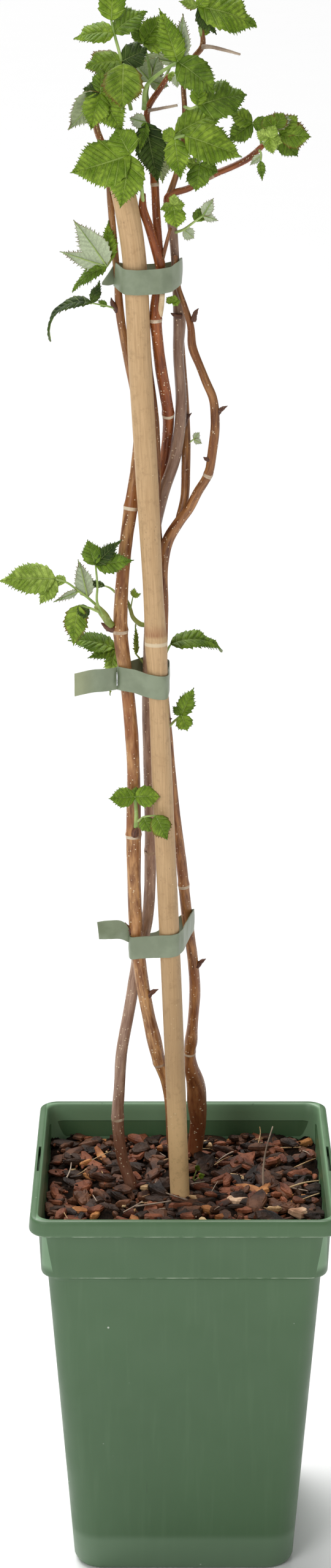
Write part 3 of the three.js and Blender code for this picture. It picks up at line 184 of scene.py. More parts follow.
DRY_TWIG_RIGHT = [
    [7.6, 3.4, 743.4, 1.2], [11, 1, 743.6, 0.9], [16, -0.4, 742.6, 0.8], [24.4, -1.4, 740.4, 0.5],
]

# ---- tying tapes: [x, y, z] points along the band, and [x, y, z, tallness] stations of the tail ----

TAPES = [
    {
        "name": "tie_top",
        "loop": [
            [-33, -3, 642.6], [-30.4, -10, 641.2], [-28, -14, 640], [-22, -15.4, 639.8], [-12, -12.4, 640],
            [-6.5, -8.4, 640.4], [-3.2, -2.4, 642], [-1.7, 3, 643], [-1.7, 10, 642.4], [-4, 15.2, 640.5],
            [-9, 15.4, 639.2], [-24, 6, 639.5], [-32.4, 1, 641.6],
        ],
        "lean": 0.5,
        "tail": [[-33, -3, 642.4, 9.6], [-35.4, -5, 640.4, 6.4], [-38.2, -6.6, 638.4, 1.2]],
    },
    {
        "name": "tie_middle",
        "loop": [
            [-32.4, -5.6, 451], [-30.4, -8, 451.2], [-24, -9.4, 450.4], [-17.4, -13, 449],
            [-13, -14.4, 448.4], [-9.4, -13.2, 448], [-7.7, -9.4, 447.8], [-7.3, -2, 449.5],
            [-7.4, 5, 451.4], [-11.6, 11.4, 452.3], [-19.6, 11.6, 451.4], [-31.6, 1.6, 449.8],
        ],
        "lean": 0.05,
        "tail": [
            [-32.4, -5.6, 451, 10.8], [-34.4, -7.4, 451, 11],
            [-44, -9, 450.4, 11.2], [-52.4, -10.6, 449, 11.2],
        ],
    },
    {
        "name": "tie_lower",
        "loop": [
            [-27, -3.4, 314.6], [-26, -6.6, 314.4], [-22, -7.6, 315.2], [-12, -13, 317.7],
            [-6.6, -14.2, 318.2], [-2.9, -12, 318.4], [-0.8, -7.6, 319], [3.7, 8, 322.4], [4.9, 13, 322.6],
            [1, 17, 319.6], [-14, 14.6, 309.6], [-24.4, 10.4, 309.4], [-27.2, 3, 312],
        ],
        "lean": 0.9,
        "tail": [
            [-27, -3.4, 319.6, 6.4], [-31, -6.4, 324, 10], [-36, -8.6, 325, 12], [-42, -8.4, 324.4, 12.4],
        ],
    },
]

# ---- leaves: name, petiole stations, petiole radius, and leaflets
# [petiole station, angle, length, half width, lean, tilt, turn, fold, curl, tone] ----

# Tones bright, mid and dark are painted light and painted shade on one green; young, red and pale are colours
# of their own.
LEAVES = [
    ["leaf_top_left",
      [[-24.8, -2, 716], [-27, -5, 726], [-28.9, -6, 737.6], [-32.1, -8, 750], [-33.4, -8.5, 755.7]], 0.9, [
      [4, 2, 15.5, 6.6, 10, 10, 0, 20, 15, "bright"],
      [3, -80, 19, 6.8, 15, 45, 0, 12, 55, "bright"],
      [3, 40, 18.5, 6.8, 10, 45, 0, 12, 60, "mid"],
      [2, -84, 17.5, 7, 20, 40, 0, 12, 60, "red"],
      [2, 63, 13, 6.4, 10, 30, 0, 12, 20, "dark"],
    ]],
    ["leaf_front_drape", [[-22.6, -7, 722], [-25, -10, 732], [-28, -11.5, 737]], 0.8, [
      [2, 182, 21, 9.4, 30, 35, 0, 10, 20, "red"],
    ]],
    ["leaf_top_middle", [[-15.9, 3.5, 728], [-17, 4, 737], [-19, 3, 744.8]], 0.8, [
      [2, 32, 16.5, 5.8, 0, 10, 0, 15, 10, "bright"],
      [2, 92, 12.5, 5, 15, 40, 0, 15, 20, "bright"],
      [2, -18, 11, 4.4, -10, 10, 0, 15, 10, "mid"],
      [2, -50, 9, 2.2, -20, 180, 0, 10, 10, "pale"],
    ]],
    ["leaf_centre_top", [[-19, 0, 716], [-17.5, -4, 727], [-11.7, -7, 732.6], [-3.7, -8, 737.6]], 1.1, [
      [3, -18, 25, 6.2, 8, 5, 10, 15, 12, "bright"],
      [3, 10, 21.5, 4.8, -18, 180, 20, 12, 10, "pale"],
      [3, 120, 22.5, 8.6, 25, 30, 0, 10, 22, "mid"],
    ]],
    ["leaf_right_middle", [[-0.6, 2.5, 717], [2.4, -2, 716.5], [5.2, -4, 718]], 0.8, [
      [2, 70, 24.5, 9.6, 5, 22, 0, 8, 46, "mid"],
      [2, 8, 10, 4, 0, 10, 0, 10, 5, "bright"],
    ]],
    ["leaf_top_right", [[7, 4.8, 748], [6, 3, 756], [5.3, 1, 761]], 0.8, [
      [2, 95, 30, 10.4, 8, 34, 0, 10, 50, "bright"],
      [2, 146, 15.5, 4.6, -14, 20, 0, 12, 5, "dark"],
      [0, 25, 11.5, 2.8, -30, 0, 0, 12, 5, "bright"],
      [2, 42, 8.5, 3.2, 10, 10, 0, 12, 5, "bright"],
      [2, -70, 9, 2.6, 10, 30, 0, 12, 20, "pale"],
    ]],
    ["leaf_right_arch", [[-2.6, 4, 694], [-4.6, 1, 700], [-5, -2, 705]], 0.8, [
      [2, 58, 29, 8.4, 6, 40, 0, 10, 26, "bright"],
      [2, 82, 18, 2.6, -12, 100, 0, 10, 0, "dark"],
    ]],
    ["leaf_right_big", [[-4, 3.5, 689], [-5.6, -5, 696], [-5, -10, 704], [-0.6, -12, 705.5]], 0.9, [
      [3, 106, 28, 9.4, 12, 30, 0, 8, 30, "bright"],
      [2, 173, 18.5, 6, 10, 15, -10, 15, 12, "bright"],
      [2, -60, 6.5, 3.6, 0, 20, 0, 10, 10, "bright"],
    ]],
    ["leaf_small_right", [[6, 4, 682.5], [7, 0, 688], [6.3, -3, 691.5]], 0.7, [
      [2, 187, 12, 5.4, 20, 25, 0, 12, 20, "mid"],
      [2, 104, 9, 4.2, 10, 25, 0, 12, 20, "mid"],
      [2, -80, 7.4, 3, 0, 25, 0, 12, 10, "young"],
      [2, -12, 6, 1.5, -10, 180, 0, 10, 0, "pale"],
    ]],
    ["leaf_tip_back", [[34.6, 1.6, 699], [33.4, 5, 705], [30.4, 6, 709.5]], 0.7, [
      [2, -64, 11.5, 4.6, 0, 30, 0, 12, 20, "bright"],
      [2, -124, 14, 5.2, 5, 20, 0, 12, 20, "mid"],
      [2, 100, 8, 4, 0, 20, 0, 12, 10, "mid"],
    ]],
    ["leaf_tip_fan", [[35, 0.8, 700], [39, 0, 702], [42.7, 0, 705]], 0.7, [
      [2, 44, 11.6, 5.2, 5, 15, 0, 8, 5, "red"],
      [2, 93, 14.4, 6.2, 14, 15, 0, 8, 10, "red"],
      [2, 140, 13, 5.6, 8, 15, 0, 8, 5, "mid"],
    ]],
    ["leaf_tip_top", [[35.2, 0, 701], [38, -3.4, 704.5], [40.1, -4.4, 708]], 0.6, [
      [2, -42, 7.2, 4, 0, 20, 0, 12, 10, "red"],
      [2, 30, 8, 4.2, 0, 20, 0, 12, 15, "red"],
      [2, 55, 12, 2.8, -25, 180, 0, 12, 0, "pale"],
    ]],
    ["leaf_tip_young", [[36, -0.4, 699.4], [37.2, -5, 702.4], [37.6, -8.6, 704]], 0.6, [
      [2, -64, 6.6, 3, 0, 25, 0, 12, 10, "young"],
      [2, 20, 6.6, 3, 10, 15, 0, 12, 10, "young"],
      [2, 112, 6.4, 2.8, 10, 20, 0, 12, 10, "young"],
      [2, 168, 7.4, 3, 15, 20, 0, 12, 10, "young"],
    ]],
    ["leaf_tip_hanging", [[33.4, 0.6, 698], [34.2, -3, 696], [34, -4, 693.4]], 0.6, [
      [2, 176, 9, 2.1, 0, 10, 20, 12, 10, "mid"],
      [1, -130, 7, 1.9, -10, 180, 0, 10, 5, "pale"],
    ]],
    ["leaf_right_low", [[-5.4, 5, 660], [-1, 0.4, 662], [4.2, -2, 666], [7.8, -3, 668.6]], 0.7, [
      [3, 34, 9.4, 2.9, 0, 180, 15, 10, 5, "pale"],
      [3, 104, 7.4, 2, 0, 180, 0, 10, 5, "pale"],
      [2, 42, 10.5, 3.4, -32, 30, 0, 10, 10, "mid"],
      [1, 128, 6.4, 3, -6, 180, 0, 10, 5, "pale"],
    ]],
    ["leaf_young_middle", [[-6.6, 4.6, 670], [-6.4, -0.6, 672.6], [-5.6, -6, 673.6]], 0.7, [
      [2, 172, 10.4, 5, 20, 25, 0, 10, 20, "bright"],
      [2, -100, 6.4, 2.6, 10, 30, 0, 10, 15, "young"],
      [2, 78, 5.4, 2.5, 10, 30, 0, 10, 15, "young"],
      [2, 8, 5.4, 2.5, 0, 30, 0, 10, 10, "young"],
    ]],
    ["leaf_dark_centre", [[-16.8, 2, 707], [-18, -3.4, 710.5]], 0.8, [
      [1, 170, 28, 7.6, 0, 8, 0, 14, 6, "dark"],
      [1, -74, 8.6, 3.4, 20, 180, 0, 8, 10, "pale"],
      [1, 196, 14, 3, 14, 8, -20, 14, 6, "mid"],
    ]],
    ["leaf_front_pair", [[-19.4, -6.6, 675.5], [-21, -14, 688], [-25.2, -18, 697.5]], 0.9, [
      [2, -108, 28, 10.8, 12, 15, 0, 8, 14, "bright"],
      [2, 188, 24, 8.6, 15, 20, 0, 10, 18, "bright"],
      [2, -26, 13.5, 7.2, 10, 10, 0, 12, 10, "bright"],
    ]],
    ["leaf_left_group", [[-38.8, -5.6, 720], [-39.6, -9, 722.6], [-38.4, -12, 724.4]], 0.9, [
      [2, -138, 22, 6.8, 0, 155, 0, 10, 8, "red"],
      [2, -162, 18, 6.4, 28, 20, 0, 14, 10, "bright"],
      [2, 149, 21, 7, 20, 20, 0, 12, 12, "bright"],
      [2, 5, 10.5, 4.2, 0, 15, 0, 12, 5, "mid"],
      [2, -74, 8, 4, 0, 30, 0, 12, 15, "dark"],
    ]],
    ["leaf_centre_back", [[-16.6, 3.2, 717], [-17.6, 7, 723], [-16.4, 8.6, 728]], 0.8, [
      [2, -40, 13, 5, 0, 170, 0, 10, 10, "pale"],
      [2, 20, 12, 5, -5, 175, 0, 10, 10, "pale"],
      [2, 104, 9, 3.6, 0, 170, 0, 10, 10, "pale"],
    ]],
    ["leaf_olive_small", [[-8.6, 3, 730], [-6, 2, 732.4], [-4.4, 0.4, 731.6]], 0.6, [
      [2, 172, 6, 2.4, 0, 170, 0, 10, 5, "pale"],
      [1, -165, 5, 1.7, 20, 10, 0, 10, 5, "young"],
      [2, 100, 6, 2.2, -10, 160, 0, 10, 5, "pale"],
    ]],
    ["leaf_left_pale", [[-32.6, -4, 652], [-34.6, -7.6, 648.6], [-36, -8.6, 646.4]], 0.8, [
      [2, -32, 26.5, 6.6, 6, 180, 12, 12, 6, "pale"],
      [2, -73, 22.5, 4.4, 0, 180, 0, 10, 8, "pale"],
      [2, -104, 21, 4.2, 20, 55, 0, 10, 66, "mid"],
      [1, -6, 18.5, 4.2, -10, 20, -10, 14, 8, "bright"],
    ]],
    ["leaf_left_curled", [[-31.4, -4.6, 626.4], [-36, -6.4, 628], [-43, -8, 629.6]], 0.55, [
      [2, 22, 11, 3.2, 0, 10, 40, 14, 5, "dark"],
      [2, -74, 34, 4.8, 8, 66, 0, 14, 128, "dark"],
      [1, -60, 5, 1.7, 0, 30, 0, 10, 5, "mid"],
    ]],
    ["leaf_tie_sprout", [[-5, 5, 627], [-5.4, 0, 627.4], [-6, -3, 629]], 0.5, [
      [2, -44, 4, 1.9, 20, 20, 0, 10, 10, "bright"],
      [2, 14, 4.4, 2, 25, 20, 0, 10, 10, "bright"],
      [2, 76, 4, 1.9, 20, 20, 0, 10, 10, "bright"],
    ]],
    ["leaf_arm_small", [[0.6, 11.6, 561], [3, 11, 562], [4, 10.6, 563]], 0.5, [
      [2, 40, 4.4, 1.7, 0, 170, 0, 10, 5, "pale"],
      [2, 120, 4.4, 1.7, 0, 170, 0, 10, 5, "pale"],
    ]],
    ["leaf_middle_upright",
      [[-38.5, -8.4, 482], [-41.4, -9.4, 489], [-41.2, -9.8, 497], [-42, -11, 507.5]], 0.7, [
      [3, -20, 12.8, 4.8, 5, 10, 0, 14, 5, "mid"],
      [3, 40, 17.8, 4.2, 10, 10, -25, 20, 8, "dark"],
      [3, 80, 18.6, 5.2, 14, 20, 0, 12, 12, "mid"],
    ]],
    ["leaf_middle_left",
      [[-41.4, -6, 486.4], [-46, -7, 490.8], [-50, -8, 494], [-56, -9, 498.6], [-61, -9, 500]], 0.7, [
      [4, -82, 27.5, 7.8, 8, 32, 0, 10, 34, "young"],
      [4, -144, 14, 4.6, 10, 20, 0, 10, 8, "young"],
      [3, -80, 9, 3, -30, 30, 0, 10, 10, "young"],
      [1, -12, 18.5, 4.6, -8, 180, -12, 12, 6, "pale"],
      [2, -104, 14, 2.2, 26, 160, 0, 10, 6, "pale"],
    ]],
    ["leaf_middle_low", [[-40.6, -10.4, 484.6], [-45, -12.4, 487], [-50, -13, 488.4]], 0.7, [
      [2, -168, 19.5, 6, 8, 15, -12, 12, 10, "red"],
      [1, -112, 6.6, 3.6, 24, 20, 0, 10, 10, "dark"],
    ]],
    ["leaf_behind_main", [[-33, 2.6, 491], [-35.6, 3, 493], [-38, 3, 494]], 0.6, [
      [2, -74, 9.6, 2.2, 0, 50, 0, 14, 30, "dark"],
    ]],
    ["leaf_hook_small", [[-25.8, 2, 483], [-25.2, 0.6, 486.6], [-24.6, 0, 489.4]], 0.4, [
      [2, 10, 4.4, 1.6, 0, 10, 0, 10, 5, "young"],
      [2, 70, 4.2, 1.2, 0, 10, 0, 10, 5, "young"],
    ]],
    ["leaf_tie_left", [[-30, 0.6, 459], [-31.4, 4.6, 460.6], [-33.4, 6, 462.6]], 0.7, [
      [2, -66, 25.5, 6, 0, 52, 0, 12, 60, "mid"],
      [2, -106, 14, 3.4, 16, 24, 0, 10, 15, "mid"],
      [2, -170, 24, 4, 0, 20, 0, 12, 8, "young"],
    ]],
    ["leaf_tie_sliver", [[-17.6, 8.6, 452], [-21, 9.4, 456], [-23.4, 9, 459]], 0.6, [
      [2, 0, 15, 1.9, 0, 10, 40, 14, 4, "young"],
    ]],
    ["leaf_tie_right", [[-9.6, 4.4, 459], [-7.6, 8, 462.6], [-6.6, 8.6, 464]], 0.7, [
      [2, 66, 30, 6.4, 0, 58, 0, 12, 86, "mid"],
    ]],
    ["leaf_right_shoot", [[-8, 2.8, 424], [-4.6, -0.6, 428.6], [-1.6, -2.6, 432]], 0.7, [
      [2, 24, 15, 4.6, 6, 10, -25, 16, 4, "mid"],
      [2, 160, 8.4, 4.2, 10, 15, 0, 12, 15, "bright"],
      [2, -44, 6, 2.2, 0, 15, 0, 12, 5, "mid"],
    ]],
    ["leaf_lower_left", [[-23.4, -7.2, 377], [-23.2, -9.4, 384], [-23.8, -11, 393.5]], 1.2, [
      [2, -88, 12.8, 5, 14, 25, 0, 10, 16, "bright"],
      [2, 80, 12.4, 5.4, 18, 25, 0, 10, 22, "bright"],
      [2, 10, 5, 2.1, -20, 10, 0, 10, 5, "mid"],
    ]],
    ["leaf_lower_right", [[-22.4, -10.6, 381], [-19.6, -15, 384.6], [-14, -18.4, 386.4]], 0.6, [
      [1, 158, 8.6, 4.2, 0, 15, 0, 10, 10, "mid"],
      [2, 152, 13.4, 5.2, 6, 20, 0, 10, 14, "red"],
    ]],
    ["leaf_back_high", [[-13, 4, 724], [-9, 12, 730], [-6, 18, 736]], 0.9, [
      [2, 12, 18, 6.2, -30, 150, 0, 12, 20, "mid"],
      [2, 98, 17, 6.2, -35, 130, 0, 12, 20, "mid"],
      [2, -80, 17, 6.2, -35, 130, 0, 12, 20, "bright"],
    ]],
    ["leaf_back_low", [[-14.4, 2.6, 687], [-14, 12, 694], [-13, 20, 700]], 0.9, [
      [2, 176, 21, 7, -28, 160, 0, 12, 20, "bright"],
      [2, 100, 18, 6.4, -40, 140, 0, 12, 20, "mid"],
      [2, -96, 18, 6.4, -40, 140, 0, 12, 20, "mid"],
    ]],
]

# ---- small helpers ----
def srgb(red, green, blue):
    """A linear colour from 0-255 display values."""
    def linear(c):
        c /= 255
        return c / 12.92 if c <= 0.04045 else ((c + 0.055) / 1.055) ** 2.4
    return (linear(red), linear(green), linear(blue), 1.0)


def shade(colour, share):
    """A colour darkened to a share of its light."""
    return tuple(share * c for c in colour[:3]) + (1.0,)


def lerp(a, b, t):
    return a + (b - a) * t


def clamp(value, low, high):
    return max(low, min(high, value))


def smoothstep(low, high, value):
    t = clamp((value - low) / (high - low), 0, 1)
    return t * t * (3 - 2 * t)


class Piece:
    """Vertices, faces, material indices and UVs of one piece, in millimetres."""

    def __init__(self):
        self.verts = []
        self.faces = []
        self.slots = []
        self.uvs = []

    def vert(self, point):
        self.verts.append((point[0], point[1], point[2]))
        return len(self.verts) - 1

    def face(self, corners, slot=0, uvs=None):
        self.faces.append(corners)
        self.slots.append(slot)
        self.uvs.extend(uvs or [(0.0, 0.0)] * len(corners))

    def finish(self, name, materials, smooth=True, body="root"):
        mesh = bpy.data.meshes.new(name)
        points = [(x * MM, y * MM, z * MM) for x, y, z in self.verts]
        mesh.from_pydata(points, [], self.faces)
        mesh.polygons.foreach_set("material_index", self.slots)
        layer = mesh.uv_layers.new(name="shape")
        layer.data.foreach_set("uv", [c for uv in self.uvs for c in uv])
        for material in materials:
            mesh.materials.append(material)
        mesh.polygons.foreach_set("use_smooth", [smooth] * len(self.faces))
        mesh.validate()
        mesh.update()
        made = bpy.data.objects.new(name, mesh)
        bpy.context.scene.collection.objects.link(made)
        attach(made, body)
        return made


def smooth_path(stations, step):
    """Points about `step` apart on a smooth curve through the stations; every column is blended."""
    rows = [tuple(map(float, s)) for s in stations]
    gaps = [max(1e-6, math.dist(a[:3], b[:3])) for a, b in zip(rows, rows[1:])]
    width = len(rows[0])
    slopes = []
    for i in range(len(rows)):
        if i == 0:
            slopes.append([(rows[1][k] - rows[0][k]) / gaps[0] for k in range(width)])
        elif i == len(rows) - 1:
            slopes.append([(rows[i][k] - rows[i - 1][k]) / gaps[-1] for k in range(width)])
        else:
            a, b = gaps[i - 1], gaps[i]
            slopes.append([
                ((rows[i][k] - rows[i - 1][k]) / a * b + (rows[i + 1][k] - rows[i][k]) / b * a) / (a + b)
                for k in range(width)
            ])
    path = []
    for i, gap in enumerate(gaps):
        count = max(1, round(gap / step))
        for j in range(count):
            t = j / count
            h1 = 2 * t**3 - 3 * t**2 + 1
            h2 = t**3 - 2 * t**2 + t
            h3 = -2 * t**3 + 3 * t**2
            h4 = t**3 - t**2
            path.append([
                h1 * rows[i][k] + h2 * gap * slopes[i][k] + h3 * rows[i + 1][k] + h4 * gap * slopes[i + 1][k]
                for k in range(width)
            ])
    path.append(list(rows[-1]))
    return path


def tube(piece, path, sides, slot=0, bumps=None, slot_of=None, round_ends=True):
    """A closed tube along [x, y, z, radius] points. bumps(ring, angle, length) scales the radius."""
    points = [Vector(p[:3]) for p in path]
    side = Vector((1, 0, 0))
    rings = []
    length = 0.0
    last = len(points) - 1
    for i, p in enumerate(points):
        along = (points[min(i + 1, last)] - points[max(i - 1, 0)]).normalized()
        side = (side - along * side.dot(along)).normalized()
        up = along.cross(side)
        if i:
            length += (p - points[i - 1]).length
        radius = path[i][3]
        ring = []
        for k in range(sides):
            a = 2 * math.pi * k / sides
            r = radius * (bumps(i, a, length) if bumps else 1)
            ring.append(piece.vert(p + side * (r * math.cos(a)) + up * (r * math.sin(a))))
        rings.append((ring, length, along, p, radius))
    for (low, v0, *_), (high, v1, _, mid, _) in zip(rings, rings[1:]):
        which = slot_of(mid, v1) if slot_of else slot
        for k in range(sides):
            j = (k + 1) % sides
            u0, u1 = k / sides, (k + 1) / sides
            piece.face([low[k], low[j], high[j], high[k]], which, [(u0, v0), (u1, v0), (u1, v1), (u0, v1)])
    for end, sign in ((rings[0], -1), (rings[-1], 1)):
        ring, v, along, p, radius = end
        which = slot_of(p, v) if slot_of else slot
        tip = piece.vert(p + along * (sign * radius * (0.45 if round_ends else 0.0)))
        for k in range(sides):
            j = (k + 1) % sides
            corners = [ring[k], ring[j], tip] if sign > 0 else [ring[j], ring[k], tip]
            piece.face(corners, which, [(k / sides, v), ((k + 1) / sides, v), ((k + 0.5) / sides, v)])


def heading_of(angle, lean):
    """A direction in the upright plane facing the viewer, clockwise from +Z, tipped to the viewer."""
    a = math.radians(angle)
    e = math.radians(lean)
    return Vector((math.sin(a) * math.cos(e), -math.sin(e), math.cos(a) * math.cos(e)))


def facing_of(along, tilt, turn):
    """The way a blade's upper side faces: tilt 0 is at the viewer, 90 up, 180 away."""
    t = math.radians(tilt)
    q = math.radians(turn)
    f = Vector((math.sin(q), -math.cos(q) * math.cos(t), math.cos(q) * math.sin(t)))
    return (f - along * f.dot(along)).normalized()


# ---- materials ----
class Shader:
    """A node material round one Principled shader, with short calls that add nodes."""

    def __init__(self, name):
        self.material = bpy.data.materials.new(name)
        self.material.use_nodes = True
        self.tree = self.material.node_tree
        self.bsdf = self.tree.nodes["Principled BSDF"]
        self.coordinates = self.tree.nodes.new("ShaderNodeTexCoord").outputs["Object"]

    def add(self, kind, inputs, **settings):
        node = self.tree.nodes.new(kind)
        for key, value in settings.items():
            setattr(node, key, value)
        for key, value in inputs.items():
            self.put(node.inputs[key], value)
        return node

    def put(self, socket, value):
        if isinstance(value, bpy.types.NodeSocket):
            self.tree.links.new(value, socket)
        else:
            socket.default_value = value

    def set(self, **values):
        for key, value in values.items():
            self.put(self.bsdf.inputs[key.replace("_", " ")], value)

    def uv(self):
        return self.add("ShaderNodeUVMap", {}, uv_map="shape").outputs["UV"]

    def split(self, vector):
        made = self.add("ShaderNodeSeparateXYZ", {"Vector": vector})
        return made.outputs["X"], made.outputs["Y"], made.outputs["Z"]

    def join(self, x, y, z):
        return self.add("ShaderNodeCombineXYZ", {"X": x, "Y": y, "Z": z}).outputs["Vector"]

    def stretch(self, vector, x, y, z):
        made = self.add("ShaderNodeVectorMath", {0: vector, 1: (x, y, z)}, operation="MULTIPLY")
        return made.outputs["Vector"]

    def skin(self, around, length, across, along):
        """Coordinates on a tube's skin, stretched by its turn and by its length."""
        return self.join(self.math("MULTIPLY", around, across), self.math("MULTIPLY", length, along), 0.0)

    def noise(self, scale, vector=None, detail=3.0, rough=0.55):
        inputs = {"Vector": vector or self.coordinates, "Scale": scale, "Detail": detail, "Roughness": rough}
        return self.add("ShaderNodeTexNoise", inputs).outputs["Fac"]

    def cells(self, scale, vector=None, feature="F1", result="Distance"):
        inputs = {"Vector": vector or self.coordinates, "Scale": scale}
        return self.add("ShaderNodeTexVoronoi", inputs, feature=feature).outputs[result]

    def math(self, operation, a, b=0.0, c=0.0):
        made = self.add("ShaderNodeMath", {0: a, 1: b, 2: c}, operation=operation)
        return made.outputs[0]

    def ramp(self, value, low, high, start=0.0, end=1.0):
        inputs = {"Value": value, "From Min": low, "From Max": high, "To Min": start, "To Max": end}
        return self.add("ShaderNodeMapRange", inputs, interpolation_type="SMOOTHSTEP").outputs["Result"]

    def mix(self, share, a, b):
        made = self.add("ShaderNodeMix", {0: share}, data_type="RGBA")
        self.put(made.inputs[6], a)
        self.put(made.inputs[7], b)
        return made.outputs[2]

    def bump(self, height, strength, distance):
        inputs = {"Height": height, "Strength": strength, "Distance": distance}
        return self.add("ShaderNodeBump", inputs).outputs["Normal"]


def pot_material():
    s = Shader("pot_plastic")
    x, y, z = s.split(s.coordinates)
    tone = s.mix(s.noise(14, detail=4), srgb(64, 93, 60), srgb(77, 109, 73))
    streak = s.noise(1, s.stretch(s.coordinates, 260, 260, 9), 2)
    tone = s.mix(s.ramp(streak, 0.5, 0.85, 0, 0.2), tone, srgb(96, 125, 90))
    tone = s.mix(s.ramp(z, 0.186, 0.198, 0, 0.35), tone, srgb(92, 124, 87))
    reach = s.math("MAXIMUM", s.math("ABSOLUTE", x), s.math("ABSOLUTE", y))
    outer = s.math("GREATER_THAN", reach, s.ramp(z, 0.1905, 0.1913, 0.0689, 0.0713))
    # Painted light: the inside face of the wall near the top is lightened, as if more light fell on it.
    painted_light_inside = s.math("MULTIPLY", s.math("SUBTRACT", 1.0, outer), s.ramp(z, 0.170, 0.174))
    tone = s.mix(s.math("MULTIPLY", painted_light_inside, 0.75), tone, srgb(124, 158, 122))
    # Painted shade: dark lines on the outside just below the rim's skirt and below the collar step, where the
    # overhangs shade the wall.
    for height in (0.1909, 0.1672):
        off = s.math("ABSOLUTE", s.math("SUBTRACT", z, height))
        line = s.math("MULTIPLY", s.ramp(off, 0.0007, 0.0003, 0, 0.6), outer)
        tone = s.mix(line, tone, srgb(36, 56, 36))
    low = s.ramp(z, 0.021, 0.016, 0, 0.55)
    tone = s.mix(low, tone, srgb(112, 138, 110))
    ragged = s.ramp(s.noise(110, detail=5), 0.4, 0.62)
    for height, depth in ((0.1921, 0.0006), (0.1680, 0.0005)):
        off = s.math("ABSOLUTE", s.math("SUBTRACT", z, height))
        edge = s.math("MULTIPLY", s.math("MULTIPLY", s.ramp(off, depth, depth * 0.3), ragged), outer)
        tone = s.mix(s.math("MULTIPLY", edge, 0.5), tone, srgb(178, 190, 170))
    specks = s.math("MULTIPLY", s.ramp(s.cells(120), 0.075, 0.045), s.ramp(s.noise(37), 0.55, 0.62))
    tone = s.mix(s.math("MULTIPLY", specks, 0.8), tone, srgb(205, 210, 198))
    scratch = s.ramp(s.noise(1, s.stretch(s.coordinates, 300, 300, 38), 2), 0.745, 0.8)
    tone = s.mix(s.math("MULTIPLY", scratch, 0.5), tone, srgb(58, 76, 58))
    s.set(Base_Color=tone, Roughness=s.ramp(s.noise(60, detail=5), 0.3, 0.7, 0.36, 0.5))
    s.set(Specular_IOR_Level=0.5)
    s.set(Normal=s.bump(s.noise(500, detail=3), 0.12, 0.0002))
    return s.material


def bamboo_material():
    s = Shader("bamboo_skin")
    around, length, _ = s.split(s.uv())
    fibre_space = s.skin(around, length, 42.0, 0.045)
    fibre = s.noise(1.0, fibre_space, 5, 0.65)
    tone = s.mix(s.ramp(fibre, 0.25, 0.75), srgb(184, 148, 103), srgb(211, 176, 131))
    patch_space = s.skin(around, length, 3.0, 0.03)
    patch = s.noise(1.0, patch_space, 4)
    tone = s.mix(s.ramp(patch, 0.5, 0.8, 0, 0.4), tone, srgb(181, 143, 98))
    fine_space = s.skin(around, length, 150.0, 0.22)
    fine = s.noise(1.0, fine_space, 3)
    tone = s.mix(s.ramp(fine, 0.58, 0.76, 0, 0.22), tone, srgb(150, 113, 72))
    pit_space = s.skin(around, length, 30.0, 0.30)
    pits = s.math("MULTIPLY", s.ramp(s.cells(1.0, pit_space), 0.16, 0.07), s.ramp(s.noise(60), 0.5, 0.6))
    tone = s.mix(s.math("MULTIPLY", pits, 0.75), tone, srgb(92, 62, 38))
    _, _, z = s.split(s.coordinates)
    tone = s.mix(s.ramp(z, 0.40, 0.26, 0, 0.5), tone, srgb(164, 129, 84))
    tone = s.mix(s.ramp(z, 0.26, 0.2, 0, 0.85), tone, srgb(244, 204, 148))
    mottle = s.ramp(s.noise(230, detail=5, rough=0.7), 0.5, 0.68, 0, 0.28)
    tone = s.mix(mottle, tone, srgb(138, 104, 62))
    flecks = s.math("MULTIPLY", s.ramp(s.cells(330), 0.16, 0.07), s.ramp(s.noise(70), 0.5, 0.62))
    tone = s.mix(s.math("MULTIPLY", flecks, 0.6), tone, srgb(232, 208, 166))
    off = s.math("SUBTRACT", z, 0.4725)
    band = s.math("MULTIPLY", s.ramp(off, -0.001, 0.001), s.ramp(off, 0.0075, 0.001))
    tone = s.mix(s.math("MULTIPLY", band, s.ramp(fine, 0.3, 0.7, 0.3, 0.8)), tone, srgb(150, 92, 52))
    ring = s.ramp(s.math("ABSOLUTE", s.math("SUBTRACT", z, 0.4688)), 0.0012, 0.0005)
    tone = s.mix(s.math("MULTIPLY", ring, 0.7), tone, srgb(226, 210, 178))
    s.set(Base_Color=tone, Roughness=s.ramp(fibre, 0.3, 0.7, 0.42, 0.58))
    s.set(Normal=s.bump(s.math("ADD", fine, s.math("MULTIPLY", pits, -0.6)), 0.35, 0.0003))
    return s.material


